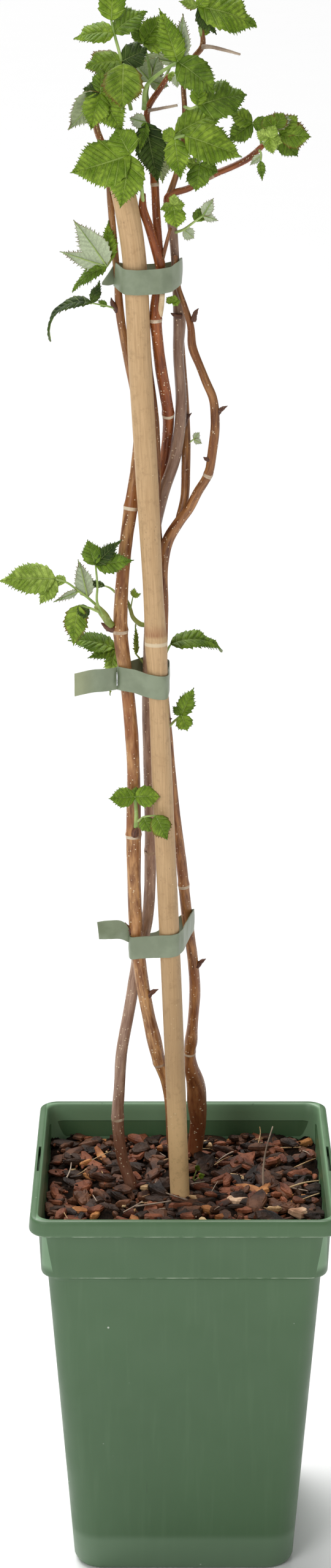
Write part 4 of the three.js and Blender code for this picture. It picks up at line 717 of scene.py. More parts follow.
def bark_material(name, dark, light, hint, dots=0.5, rough=0.36):
    """Cane bark: streaks along the cane, cream lenticels, painted shade that darkens it up towards the
    leaves, and a soft shine.
    """
    s = Shader(name)
    around, length, _ = s.split(s.uv())
    streak_space = s.skin(around, length, 9.0, 0.07)
    streak = s.noise(1.0, streak_space, 6, 0.62)
    tone = s.mix(s.ramp(streak, 0.32, 0.68), dark, light)
    patch = s.noise(48, detail=4)
    tone = s.mix(s.ramp(patch, 0.48, 0.7, 0, 0.7), tone, hint)
    thin_space = s.skin(around, length, 30.0, 0.16)
    thin = s.noise(1.0, thin_space, 4, 0.6)
    tone = s.mix(s.ramp(thin, 0.55, 0.75, 0, 0.6), tone, dark)
    _, _, z = s.split(s.coordinates)
    painted_shade = shade(dark, 0.42)
    tone = s.mix(s.ramp(z, 0.25, 0.2, 0, 0.7), tone, srgb(116, 62, 38))
    # Painted shade: the bark darkens up the cane towards the leaves, as if shaded by them.
    tone = s.mix(s.ramp(z, 0.36, 0.62, 0, 0.34), tone, painted_shade)
    dot_space = s.skin(around, length, 9.0, 0.5)
    dot = s.ramp(s.cells(1.0, dot_space), 0.2, 0.11)
    dot = s.math("MULTIPLY", dot, s.ramp(s.noise(120, detail=2), 0.56 - 0.2 * dots, 0.62 - 0.2 * dots))
    tone = s.mix(s.math("MULTIPLY", dot, 0.9), tone, srgb(238, 218, 184))
    s.set(Base_Color=tone, Roughness=s.ramp(thin, 0.3, 0.7, rough - 0.1, rough + 0.06))
    s.set(Specular_IOR_Level=0.4)
    s.set(Normal=s.bump(s.math("ADD", s.math("MULTIPLY", dot, 1.2), thin), 0.4, 0.00035))
    return s.material


def plain_stem_material(name, dark, light, rough=0.5):
    s = Shader(name)
    fuzz = s.noise(700, detail=3)
    tone = s.mix(s.ramp(s.noise(90, detail=4), 0.35, 0.65), dark, light)
    tone = s.mix(s.ramp(fuzz, 0.5, 0.8, 0, 0.3), tone, srgb(214, 220, 190))
    s.set(Base_Color=tone, Roughness=rough, Normal=s.bump(fuzz, 0.25, 0.0002))
    return s.material


def leaf_upper(name, base, light, margin=None):
    """The quilted upper side: paler veins, painted shade in the hollows beside them and on the crumples, and
    a toothed edge that may redden.
    """
    s = Shader(name)
    across, rows, _ = s.split(s.uv())
    side = s.math("ABSOLUTE", across)
    part = s.math("FRACT", rows)
    off = s.math("MINIMUM", part, s.math("SUBTRACT", 1.0, part))
    vein = s.math("MAXIMUM", s.ramp(off, 0.06, 0.015), s.ramp(side, 0.04, 0.015))
    painted_hollow_shade = s.math("MAXIMUM", s.ramp(off, 0.34, 0.05), s.ramp(side, 0.14, 0.03))
    tone = s.mix(s.ramp(s.noise(130, detail=4), 0.35, 0.68), base, light)
    mesh = s.cells(1500, feature="DISTANCE_TO_EDGE")
    tone = s.mix(s.ramp(mesh, 0.14, 0.02, 0, 0.3), tone, light)
    # Painted shade: darker blotches where the crumpled surface would be shaded.
    crumple_shade = s.ramp(s.noise(420, detail=4), 0.42, 0.62, 0, 0.5)
    tone = s.mix(crumple_shade, tone, shade(base, 0.62))
    # Painted shade: darker bands in the hollows beside the veins.
    painted_shade = shade(base, 0.52)
    tone = s.mix(s.math("MULTIPLY", painted_hollow_shade, 0.34), tone, painted_shade)
    pale = tuple(lerp(c, d, 0.45) for c, d in zip(light[:3], srgb(205, 220, 140)[:3])) + (1.0,)
    tone = s.mix(s.math("MULTIPLY", vein, 0.5), tone, pale)
    if margin:
        edge = s.math("ADD", side, s.math("MULTIPLY", s.noise(260, detail=4), 0.5))
        tone = s.mix(s.ramp(edge, 1.02, 1.3, 0, 0.85), tone, margin)
    s.set(Base_Color=tone, Roughness=s.ramp(mesh, 0.0, 0.25, 0.56, 0.42))
    s.set(Specular_IOR_Level=0.22)
    height = s.math("ADD", s.ramp(mesh, 0.0, 0.3), s.math("MULTIPLY", s.noise(2600, detail=2), 0.3))
    s.set(Normal=s.bump(height, 0.45, 0.00028))
    return s.material


def leaf_under(name, base, vein_tone):
    """The felted underside, with the veins standing out."""
    s = Shader(name)
    across, rows, _ = s.split(s.uv())
    side = s.math("ABSOLUTE", across)
    part = s.math("FRACT", rows)
    off = s.math("MINIMUM", part, s.math("SUBTRACT", 1.0, part))
    vein = s.math("MAXIMUM", s.ramp(off, 0.11, 0.04), s.ramp(side, 0.06, 0.02))
    felt = s.noise(1300, detail=3)
    darker = shade(base, 0.78)
    tone = s.mix(s.ramp(felt, 0.35, 0.7), darker, base)
    mesh = s.cells(1400, feature="DISTANCE_TO_EDGE")
    tone = s.mix(s.ramp(mesh, 0.12, 0.02, 0, 0.35), tone, vein_tone)
    tone = s.mix(s.math("MULTIPLY", vein, 0.75), tone, vein_tone)
    s.set(Base_Color=tone, Roughness=0.78)
    s.set(Sheen_Weight=0.25)
    height = s.math("ADD", felt, s.math("MULTIPLY", vein, 1.5))
    s.set(Normal=s.bump(height, 0.4, 0.0003))
    return s.material


def tape_material():
    s = Shader("tape_vinyl")
    cloud = s.noise(70, detail=4)
    tone = s.mix(s.ramp(cloud, 0.35, 0.65), srgb(122, 133, 107), srgb(140, 151, 125))
    x, _, z = s.split(s.coordinates)
    # Painted light: the middle tie's tail turns lighter and yellower towards its free end, as if lit.
    painted_light_tail = s.math("MULTIPLY", s.ramp(x, -0.040, -0.052), s.ramp(z, 0.40, 0.43))
    tone = s.mix(s.math("MULTIPLY", painted_light_tail, 0.6), tone, srgb(164, 168, 126))
    s.set(Base_Color=tone, Roughness=s.ramp(cloud, 0.3, 0.7, 0.3, 0.42))
    s.set(Specular_IOR_Level=0.5)
    s.set(Normal=s.bump(s.noise(330, detail=4), 0.18, 0.0004))
    return s.material


def wire_material():
    s = Shader("staple_wire")
    tone = s.mix(s.noise(900), srgb(196, 198, 200), srgb(226, 228, 230))
    s.set(Base_Color=tone, Metallic=1.0, Roughness=0.28)
    return s.material


def chip_material(name, dark, light, rough=0.55):
    """Bark, straw or stone: fibrous streaks and crumbs."""
    s = Shader(name)
    grain = s.noise(420, detail=5, rough=0.65)
    big = s.noise(75, detail=3)
    tone = s.mix(s.ramp(big, 0.35, 0.65), dark, light)
    tone = s.mix(s.ramp(grain, 0.52, 0.72, 0, 0.6), tone, dark)
    tone = s.mix(s.ramp(grain, 0.42, 0.3, 0, 0.5), tone, light)
    s.set(Base_Color=tone, Roughness=rough, Normal=s.bump(grain, 0.8, 0.0009))
    s.set(Specular_IOR_Level=0.2)
    return s.material


def compost_material():
    s = Shader("compost_crumb")
    crumb = s.noise(520, detail=6, rough=0.7)
    tone = s.mix(s.ramp(crumb, 0.35, 0.7), srgb(16, 10, 7), srgb(44, 30, 20))
    s.set(Base_Color=tone, Roughness=0.95, Normal=s.bump(crumb, 1.0, 0.0015))
    s.set(Specular_IOR_Level=0.1)
    return s.material


def floor_material():
    s = Shader("studio_floor")
    tone = s.mix(s.noise(3), srgb(252, 252, 252), srgb(254, 254, 254))
    s.set(Base_Color=tone, Roughness=0.5)
    return s.material


# ---- pot ----
def rounded_square(half, radius, z, steps=9, sides=5):
    """A rounded square ring from the corner at +X +Y round to the left, with points along each side."""
    ring = []
    centre = half - radius
    for corner in range(4):
        cx = (1, -1, -1, 1)[corner] * centre
        cy = (1, 1, -1, -1)[corner] * centre
        for k in range(steps + 1):
            a = math.radians(90 * corner + 90 * k / steps)
            ring.append((cx + radius * math.cos(a), cy + radius * math.sin(a), z))
        after = math.radians(90 * (corner + 1))
        nx = (-1, -1, 1, 1)[corner] * centre
        ny = (1, -1, -1, 1)[corner] * centre
        start = ring[-1]
        end = (nx + radius * math.cos(after), ny + radius * math.sin(after), z)
        for k in range(1, sides):
            t = k / sides
            ring.append((lerp(start[0], end[0], t), lerp(start[1], end[1], t), z))
    return ring


def pot_profile():
    """[half, corner radius, z] from the underside, up the outside, over the lip and down to the floor."""
    outside = [
        [BASE_HALF - 1.6, 12.6, 0], [BASE_HALF - 0.6, 13.4, 0.3],
        [BASE_HALF, 14, 1.2], [BASE_HALF + 0.7, 14, 3.2],
    ]
    for k in range(1, 12):
        t = k / 12
        outside.append([lerp(BASE_HALF + 0.7, BODY_TOP_HALF, t), lerp(14, 9, t), lerp(3.2, COLLAR_Z - 3, t)])
    outside += [
        [BODY_TOP_HALF, 9, COLLAR_Z - 3], [BODY_TOP_HALF + 0.3, 9, COLLAR_Z - 1.9],
        [BODY_TOP_HALF + 1.1, 9.2, COLLAR_Z - 1.2], [COLLAR_BOTTOM_HALF - 1.0, 9.4, COLLAR_Z - 0.9],
        [COLLAR_BOTTOM_HALF - 0.3, 9.7, COLLAR_Z - 0.3], [COLLAR_BOTTOM_HALF, 10, COLLAR_Z + 0.6],
        [COLLAR_BOTTOM_HALF + 0.1, 10, COLLAR_Z + 2.6],
        [lerp(COLLAR_BOTTOM_HALF, COLLAR_HALF, 0.5), 9.5, 180],
        [COLLAR_HALF, 9, SKIRT_Z - 0.6], [COLLAR_HALF + 0.2, 9, SKIRT_Z],
        [RIM_HALF - 1.3, 9.3, SKIRT_Z + 0.1], [RIM_HALF - 0.5, 9.4, SKIRT_Z + 0.5],
        [RIM_HALF - 0.05, 9.5, SKIRT_Z + 1.3], [RIM_HALF, 9.5, SKIRT_Z + 2.4],
        [RIM_HALF - 0.3, 9.3, RIM_Z - 2.6], [RIM_HALF - 0.5, 9, RIM_Z - 1.2],
        [RIM_HALF - 0.8, 8.8, RIM_Z - 0.5], [RIM_HALF - 1.4, 8.6, RIM_Z - 0.05],
    ]
    inner_top = RIM_HALF - 4.6
    inside = [
        [inner_top + 1.2, 7.6, RIM_Z], [inner_top + 0.5, 7.3, RIM_Z - 0.3],
        [inner_top + 0.05, 7.1, RIM_Z - 1.1],
        [inner_top - 0.3, 7.1, RIM_Z - 5], [COLLAR_BOTTOM_HALF - WALL + 0.5, 7.8, 180],
        [COLLAR_BOTTOM_HALF - WALL, 8, COLLAR_Z + 2.4], [BODY_TOP_HALF - WALL, 8, COLLAR_Z - 3],
        [lerp(BASE_HALF, BODY_TOP_HALF, 0.5) - WALL, 10, 85], [BASE_HALF - WALL, 12.5, FLOOR],
    ]
    return outside + inside


def make_pot(material):
    piece = Piece()
    rings = [rounded_square(*level) for level in pot_profile()]
    count = len(rings[0])
    for ring in rings:
        for point in ring:
            piece.vert(point)
    for level in range(len(rings) - 1):
        for k in range(count):
            j = (k + 1) % count
            a, b = level * count, (level + 1) * count
            piece.face([a + k, a + j, b + j, b + k])
    piece.face(list(range(count))[::-1])
    top = (len(rings) - 1) * count
    piece.face([top + k for k in range(count)])
    pot = piece.finish("pot_shell", [material])
    cutters = []
    for a in (45, 135, 225, 315):
        x = DRAIN_RING * math.cos(math.radians(a)) * MM
        y = DRAIN_RING * math.sin(math.radians(a)) * MM
        radius = DRAIN_RADIUS * MM
        bpy.ops.mesh.primitive_cylinder_add(vertices=28, radius=radius, depth=10 * MM, location=(x, y, 0))
        cutters.append(bpy.context.object)
    for side in (-1, 1):
        bpy.ops.mesh.primitive_cube_add(size=1, location=(side * SLOT_AT * MM, 0, (RIM_Z - 0.5) * MM))
        bpy.context.object.scale = [length * MM for length in SLOT_SIZE]
        cutters.append(bpy.context.object)
    for cutter in cutters:
        cut = pot.modifiers.new("cut", "BOOLEAN")
        cut.object = cutter
        cut.operation = "DIFFERENCE"
        cut.solver = "EXACT"
    apply_modifiers(pot)
    for cutter in cutters:
        bpy.data.objects.remove(cutter)
    soften(pot, 40)
    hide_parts("square_pot")


def apply_modifiers(piece):
    """Replaces a piece's mesh by what its modifiers make of it."""
    graph = bpy.context.evaluated_depsgraph_get()
    graph.update()
    made = bpy.data.meshes.new_from_object(piece.evaluated_get(graph))
    piece.modifiers.clear()
    piece.data = made


def soften(piece, degrees):
    """Smooth shading that keeps edges sharper than `degrees`."""
    piece.data.polygons.foreach_set("use_smooth", [True] * len(piece.data.polygons))
    piece.data.set_sharp_from_angle(angle=math.radians(degrees))


# ---- stake ----
def make_stake(skin, cut_end):
    piece = Piece()
    path = smooth_path(STAKE, 4)
    rng = random.Random("stake")
    phase = [rng.uniform(0, 6.28) for _ in range(4)]

    def bumps(_, angle, length):
        wave = 0.010 * math.sin(2 * angle + phase[0] + length * 0.006)
        wave += 0.006 * math.sin(5 * angle + phase[1])
        grain = Vector((3 * math.cos(angle), 3 * math.sin(angle), length * 0.02))
        return 1 + wave + 0.008 * noise.noise(grain)

    tube(piece, path, 40, bumps=bumps, slot_of=lambda p, v: 0, round_ends=False)
    stake = piece.finish("bamboo_pole", [skin, cut_end])
    for polygon in stake.data.polygons:
        if len(polygon.vertices) == 3:
            polygon.material_index = 1
    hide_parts("bamboo_stake")


# ---- canes ----
def bud(piece, data, slot):
    """A pointed bud with overlapping scales on a short shoulder."""
    x, y, z, angle, lean, length, radius = data
    along = heading_of(angle, lean)
    base = Vector((x, y, z))
    bow = along.cross(Vector((0, 1, 0))).normalized() * 0.08 * length
    shape = [
        (-0.1, 1.25), (0.08, 1.2), (0.2, 1.08), (0.34, 1.16), (0.4, 1.0), (0.52, 1.04),
        (0.58, 0.86), (0.7, 0.78), (0.76, 0.6), (0.9, 0.34), (1.0, 0.08),
    ]
    path = []
    for t, share in shape:
        p = base + along * (t * length) + bow * math.sin(math.pi * clamp(t, 0, 1))
        path.append([p.x, p.y, p.z, radius * share])
    tube(piece, path, 10, slot, bumps=lambda i, a, v: 1 + 0.1 * math.sin(2 * a + i * 1.3))


def hairs(piece, path, count, low, high, slot, seed):
    """Short fine bristles standing on a cane."""
    rng = random.Random(seed)
    for _ in range(count):
        i = rng.randrange(1, len(path) - 1)
        p = Vector(path[i][:3])
        along = (Vector(path[i + 1][:3]) - Vector(path[i - 1][:3])).normalized()
        any_way = Vector((rng.uniform(-1, 1), rng.uniform(-1, 1), rng.uniform(-0.4, 0.4)))
        side = along.cross(any_way).normalized()
        reach = rng.uniform(low, high)
        foot = p + side * (path[i][3] * 0.9) + along * rng.uniform(-1.5, 1.5)
        tip = foot + side * reach + along * (reach * rng.uniform(-0.3, 0.8))
        w = 0.055 + 0.05 * reach
        other = side.cross(along).normalized()
        a = piece.vert(foot + other * w)
        b = piece.vert(foot - other * w)
        c = piece.vert(foot + along * (1.6 * w))
        d = piece.vert(tip)
        for corners in ([a, b, d], [b, c, d], [c, a, d], [a, c, b]):
            piece.face(corners, slot)


def cane(piece, stations, slot, seed, sides=20, scars=(), scar_slot=None, knots=0.05):
    """One woody cane, with faint ribs and knots, and pale scars at the heights given."""
    path = smooth_path(stations, 1.6)
    rng = random.Random(seed)
    turn = rng.uniform(0, 6.28)
    offset = Vector((rng.uniform(0, 50), rng.uniform(0, 50), 0))

    def bumps(i, angle, length):
        round_about = Vector((1.1 * math.cos(angle), 1.1 * math.sin(angle), length * 0.06)) + offset
        fine = Vector((3.2 * math.cos(angle), 3.2 * math.sin(angle), length * 0.16)) + offset
        value = 1 + knots * noise.noise(round_about) + 0.6 * knots * noise.noise(fine)
        value += 0.018 * math.sin(5 * angle + turn + 0.01 * length)
        for z in scars:
            value += 0.13 * math.exp(-(((path[i][2] - z) / 1.5) ** 2))
        return value

    def slot_of(p, _):
        return scar_slot if any(abs(p.z - z) < 0.75 for z in scars) else slot

    tube(piece, path, sides, slot, bumps, slot_of if scars else None)
    return path


CANE_STYLE = {
    "cane_main": [
        (MAIN_CANE, "bark_red_brown", (250.5, 372, 474, 533)),
    ],
    "cane_left": [
        (LEFT_CANE, "bark_grey_tan", (220, 303, 360)),
        (RED_BRANCH, "bark_red", (576, 622)),
        (TOP_FORK_LEFT, "bark_red", ()),
        (TOP_FORK_RIGHT, "bark_red", (683,)),
        (HAIRY_TWIG, "bark_brown", ()),
        (CUT_STUB, "stub_cream", ()),
        (RIGHT_LATERAL, "bark_red", (686,)),
        (TOP_STEM, "bark_brown", ()),
    ],
    "cane_right": [
        (RIGHT_CANE, "bark_brown", (246, 342, 549)),
        (INNER_ARM, "bark_brown", ()),
        (SIDE_STRIP, "bark_brown", ()),
    ],
}


def make_canes(materials):
    buds = {"cane_main": MAIN_BUDS, "cane_left": LEFT_BUDS, "cane_right": RIGHT_BUDS}
    for name, parts in CANE_STYLE.items():
        piece = Piece()
        used = ["scar", "bristle", "bud_brown"]
        for _, bark, _ in parts:
            if bark not in used:
                used.append(bark)
        for k, (stations, bark, scars) in enumerate(parts):
            seed = f"{name}{k}"
            path = cane(piece, stations, used.index(bark), seed, scars=scars, scar_slot=used.index("scar"))
            long = math.dist(stations[0][:3], stations[-1][:3])
            per_mm, reach = (3.2, 1.1) if bark == "bark_red" else (1.2, 0.6)
            hairs(piece, path, int(long * per_mm), 0.3, reach, used.index("bristle"), seed)
        for data in buds[name]:
            bud(piece, data, used.index("bud_brown"))
        made = piece.finish(name + "_bark", [materials[m] for m in used])
        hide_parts(name)


def make_shoots(materials):
    rows = [
        ("shoot_middle", SHOOT_MIDDLE, "stem_green", "green_shoot"),
        ("shoot_hook", SHOOT_HOOK, "stem_green", "green_shoot"),
        ("dry_twig_left", DRY_TWIG_LEFT, "twig_dry", "dry_twig"),
        ("dry_twig_right", DRY_TWIG_RIGHT, "twig_dry", "dry_twig"),
    ]

    def bumps(_, angle, length):
        return 1 + 0.12 * noise.noise(Vector((math.cos(angle), math.sin(angle), length * 0.3)))

    for name, stations, look, slot in rows:
        piece = Piece()
        path = smooth_path(stations, 1.0)
        tube(piece, path, 14, 0, bumps)
        hairs(piece, path, 60, 0.2, 0.6, 1, name)
        made = piece.finish(name + "_stem", [materials[look], materials["bristle"]])
        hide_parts(name)


# ---- tying tapes ----
TAPE_TALL = 11.4
STAPLE_AT = (-32.2, -7.2, 451)


def tape_strip(piece, path, closed, wrinkle, seed, rows=8, thick=0.45, lean=0.0):
    """A strip of tape through [x, y, z, tallness] points, with soft wrinkles.

    `lean` tips its far end back.
    """
    rng = random.Random(seed)
    offset = Vector((rng.uniform(0, 90), rng.uniform(0, 90), 0))
    count = len(path)
    grids = []
    for face_side in (1, -1):
        grid = []
        for i, (x, y, z, tall) in enumerate(path):
            before = path[(i - 1) % count if closed else max(i - 1, 0)]
            after = path[(i + 1) % count if closed else min(i + 1, count - 1)]
            tangent = Vector((after[0] - before[0], after[1] - before[1], 0)).normalized()
            out = Vector((tangent.y, -tangent.x, 0))
            column = []
            for j in range(rows + 1):
                v = 2 * j / rows - 1
                point = Vector((x, y, z + v * tall / 2))
                push = wrinkle * noise.noise(Vector((x * 0.16, y * 0.16, v * 0.5)) + offset)
                push += 0.35 * wrinkle * noise.noise(Vector((x * 0.4, y * 0.4, v * 1.2)) + offset)
                push -= 0.35 * wrinkle * v * v + lean * v * tall / 2 * i / count
                column.append(piece.vert(point + out * (push + face_side * thick / 2)))
            grid.append(column)
        grids.append(grid)
    front, back = grids
    spans = count if closed else count - 1
    for i in range(spans):
        n = (i + 1) % count
        for j in range(rows):
            piece.face([front[i][j], front[n][j], front[n][j + 1], front[i][j + 1]])
            piece.face([back[i][j], back[i][j + 1], back[n][j + 1], back[n][j]])
        piece.face([front[i][rows], front[n][rows], back[n][rows], back[i][rows]])
        piece.face([front[i][0], back[i][0], back[n][0], front[n][0]])
    if not closed:
        for i, flip in ((0, False), (count - 1, True)):
            for j in range(rows):
                corners = [front[i][j], front[i][j + 1], back[i][j + 1], back[i][j]]
                piece.face(corners[::-1] if flip else corners)


def folded_path(stations, step, closed):
    """Straight runs between the stations with small round folds, so that the tape lies in flat planes."""
    count = len(stations)
    fine = []
    for i in range(count if closed else count - 1):
        a, b = stations[i], stations[(i + 1) % count]
        parts = max(1, round(math.dist(a[:3], b[:3]) / step))
        fine += [[lerp(p, q, k / parts) for p, q in zip(a, b)] for k in range(parts)]
    if not closed:
        return fine + [list(stations[-1])]
    total = len(fine)
    return [
        [0.25 * p + 0.5 * q + 0.25 * r for p, q, r in zip(fine[i - 1], fine[i], fine[(i + 1) % total])]
        for i in range(total)
    ]


def make_tapes(vinyl):
    for data in TAPES:
        piece = Piece()
        band = [[*point, TAPE_TALL] for point in data["loop"]]
        tape_strip(piece, folded_path(band, 1.1, True), True, 0.45, data["name"])
        tail = smooth_path(data["tail"], 1.2)
        tape_strip(piece, tail, False, 0.7, data["name"] + "tail", lean=data["lean"])
        made = piece.finish(data["name"] + "_band", [vinyl])
        soften(made, 32)
        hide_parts(data["name"])


def make_staple(wire):
    """The one staple that closes the middle tape, standing a little proud of its crown."""
    piece = Piece()
    x, y, z = STAPLE_AT
    half = 3.2
    stations = [
        [x, y + 0.6, z - half, 0.3], [x, y - 0.5, z - half, 0.3], [x, y - 0.9, z - half + 0.3, 0.34],
        [x, y - 0.7, z, 0.34], [x, y - 0.9, z + half - 0.3, 0.34], [x, y - 0.5, z + half, 0.3],
        [x, y + 0.6, z + half, 0.3],
    ]
    tube(piece, smooth_path(stations, 0.25), 8)
    made = piece.finish("staple_middle_wire", [wire])
    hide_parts("staple_middle")


# ---- leaves ----
TOOTH = (1.0, 0.1, -0.62, -0.35, 0.25, -0.1, -0.4, 0.45)
COLUMNS = (0.0, 0.1, 0.32, 0.58, 0.82, 1.0)


def tooth(part):
    """How far the edge stands out between one vein and the next: one large tooth and one small."""
    place = (part % 1.0) * len(TOOTH)
    k = int(place)
    return lerp(TOOTH[k % len(TOOTH)], TOOTH[(k + 1) % len(TOOTH)], place - k)


def half_width(u):
    """The blade's half width, as a share of its widest, from its base to its tip."""
    return (1 - math.exp(-12 * u)) * max(0.0, 1 - u**1.45) ** 1.25 / 0.82


def leaflet(piece, base, data, slots, seed):
    """One toothed, quilted blade, on the same arc as its CAD plate."""
    _, angle, length, half, lean, tilt, turn, fold, curl, _ = data
    upper, under, stem = slots
    rng = random.Random(seed)
    along = heading_of(angle, lean)
    face = facing_of(along, tilt, turn)
    across = along.cross(face)
    bend = math.radians(curl) or 1e-4
    arc = length / bend
    f = math.radians(fold)
    veins = max(4, round(3 + length / 3.6))
    per = 8 if length > 14 else 6 if length > 8 else 4
    rows = veins * per
    spacing = length / veins
    twist = math.radians(rng.uniform(-14, 14))
    sway = rng.uniform(-0.07, 0.07) * length
    sizes = [rng.uniform(0.7, 1.25) for _ in range(veins + 1)]
    waves = [(rng.uniform(0.6, 1.0), rng.uniform(0, 6.28), rng.uniform(1.4, 2.6)) for _ in range(2)]

    def place(x, y, height):
        a = bend * y / length
        spine = base + along * (arc * math.sin(a)) - face * (arc * (1 - math.cos(a)))
        normal = face * math.cos(a) + along * math.sin(a)
        t = clamp(y / length, 0, 1.1)
        swing = twist * t
        right = across * math.cos(swing) + normal * math.sin(swing)
        up = normal * math.cos(swing) - across * math.sin(swing)
        x_wide = x * math.cos(f)
        lift = abs(x) * math.sin(f) - 0.16 * x * x / max(half, 1) + height
        return spine + right * (x_wide + sway * t * t) + up * lift

    grid = []
    for i in range(rows + 1):
        u = i / rows
        w = half_width(u) * half
        slant = 0.78 * min(1.0, (u / 0.28) ** 0.8)
        part = (i % per) / per
        size = spacing * (0.3 if u < 0.9 else 0.14) * sizes[i // per]
        row = []
        for sign in (-1, 1):
            amount, phase, rate = waves[0 if sign < 0 else 1]
            for c in COLUMNS if sign > 0 else COLUMNS[:0:-1]:
                edge = smoothstep(0.8, 1.0, c)
                reach = c * w
                if 0 < i < rows:
                    reach += edge * size * tooth(part) * min(1.0, w / (0.35 * half))
                quilt = math.sin(math.pi * part) ** 0.55 if 0 < part < 1 else 0.0
                quilt *= 0.26 * spacing * math.sin(math.pi * min(1.0, c**0.7)) ** 0.6
                wave = 0.13 * half * amount * c * c * math.sin(phase + rate * 2 * math.pi * u)
                y = u * length + reach * slant
                row.append((place(sign * reach, y, quilt + wave), (sign * c, u * veins)))
        grid.append(row)
    columns = len(grid[0])
    thick = 0.26 if length > 8 else 0.2
    tops = [[piece.vert(p) for p, _ in row] for row in grid]
    low = []
    for i, row in enumerate(grid):
        line = []
        for k, (p, _) in enumerate(row):
            rise = grid[min(i + 1, rows)][k][0] - grid[max(i - 1, 0)][k][0]
            run = row[min(k + 1, columns - 1)][0] - row[max(k - 1, 0)][0]
            normal = run.cross(rise)
            normal = normal.normalized() if normal.length > 1e-9 else face
            if normal.dot(face) < -0.9:
                normal = -normal
            line.append(piece.vert(p - normal * thick))
        low.append(line)
    for i in range(rows):
        for k in range(columns - 1):
            uvs = [grid[i][k][1], grid[i][k + 1][1], grid[i + 1][k + 1][1], grid[i + 1][k][1]]
            piece.face([tops[i][k], tops[i][k + 1], tops[i + 1][k + 1], tops[i + 1][k]], upper, uvs)
            piece.face([low[i][k], low[i + 1][k], low[i + 1][k + 1], low[i][k + 1]], under, uvs)
        for k, flip in ((0, False), (columns - 1, True)):
            uv = [grid[i][k][1], grid[i][k][1], grid[i + 1][k][1], grid[i + 1][k][1]]
            corners = [low[i][k], tops[i][k], tops[i + 1][k], low[i + 1][k]]
            piece.face(corners[::-1] if flip else corners, upper, uv)
    rib = []
    for k in range(9):
        t = k / 8 * 0.96
        p = place(0, t * length, -thick - 0.02)
        rib.append([p.x, p.y, p.z, lerp(0.42, 0.1, t) * (1 if length > 8 else 0.6)])
    tube(piece, rib, 6, stem)


def make_leaves(materials):
    for name, petiole, radius, blades in LEAVES:
        tones = []
        for blade in blades:
            if blade[-1] not in tones:
                tones.append(blade[-1])
        looks = ["petiole"]
        for tone in tones:
            looks += ["leaf_" + tone, "under_" + tone]
        piece = Piece()
        count = len(petiole) - 1
        stations = [[*p, radius * lerp(1, 0.62, i / count)] for i, p in enumerate(petiole)]
        path = smooth_path(stations, 1.2)
        tube(piece, path, 10, 0)
        for k, blade in enumerate(blades):
            upper = looks.index("leaf_" + blade[-1])
            base = Vector(petiole[blade[0]])
            leaflet(piece, base, blade, (upper, upper + 1, 0), f"{name}{k}")
        made = piece.finish(name + "_blades", [materials[m] for m in looks])
        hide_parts(name)


# ---- bark mulch ----
def mulch_height(x, y):
    wave = 1.3 * math.sin(x * 0.31 + y * 0.17) + 1.1 * math.sin(y * 0.37 - x * 0.11 + 1.3)
    edge = max(abs(x), abs(y)) / 67.4
    return MULCH_TOP + wave - 1.6 * edge * edge


def inside_pot(point):
    """Pulls a point back inside the pot's wall."""
    reach = lerp(67.9, 69.6, clamp((point.z - 170) / 24, 0, 1))
    x = clamp(point.x, -reach, reach)
    y = clamp(point.y, -reach, reach)
    corner = reach - 7
    if abs(x) > corner and abs(y) > corner:
        dx, dy = abs(x) - corner, abs(y) - corner
        far = math.hypot(dx, dy)
        if far > 7:
            x = math.copysign(corner + dx * 7 / far, x)
            y = math.copysign(corner + dy * 7 / far, y)
    return Vector((x, y, point.z))


def make_mulch_bed(crumb):
    piece = Piece()
    cells = 110
    size = 139.0
    grid = []
    for j in range(cells + 1):
        row = []
        for i in range(cells + 1):
            x = (i / cells - 0.5) * size
            y = (j / cells - 0.5) * size
            p = Vector((x, y, 0))
            z = mulch_height(x, y) - 1.2 + 1.6 * noise.noise(p * 0.22) + 0.9 * noise.noise(p * 0.6)
            row.append(piece.vert(inside_pot(Vector((x, y, z)))))
        grid.append(row)
    base = []
    for row in grid:
        base.append([piece.vert((*piece.verts[k][:2], 172.4)) for k in row])
    for j in range(cells):
        for i in range(cells):
            piece.face([grid[j][i], grid[j][i + 1], grid[j + 1][i + 1], grid[j + 1][i]])
            piece.face([base[j][i], base[j + 1][i], base[j + 1][i + 1], base[j][i + 1]])
    for k in range(cells):
        piece.face([base[0][k], base[0][k + 1], grid[0][k + 1], grid[0][k]])
        piece.face([base[cells][k + 1], base[cells][k], grid[cells][k], grid[cells][k + 1]])
        piece.face([base[k + 1][0], base[k][0], grid[k][0], grid[k + 1][0]])
        piece.face([base[k][cells], base[k + 1][cells], grid[k + 1][cells], grid[k][cells]])
    bed = piece.finish("mulch_bed", [crumb])


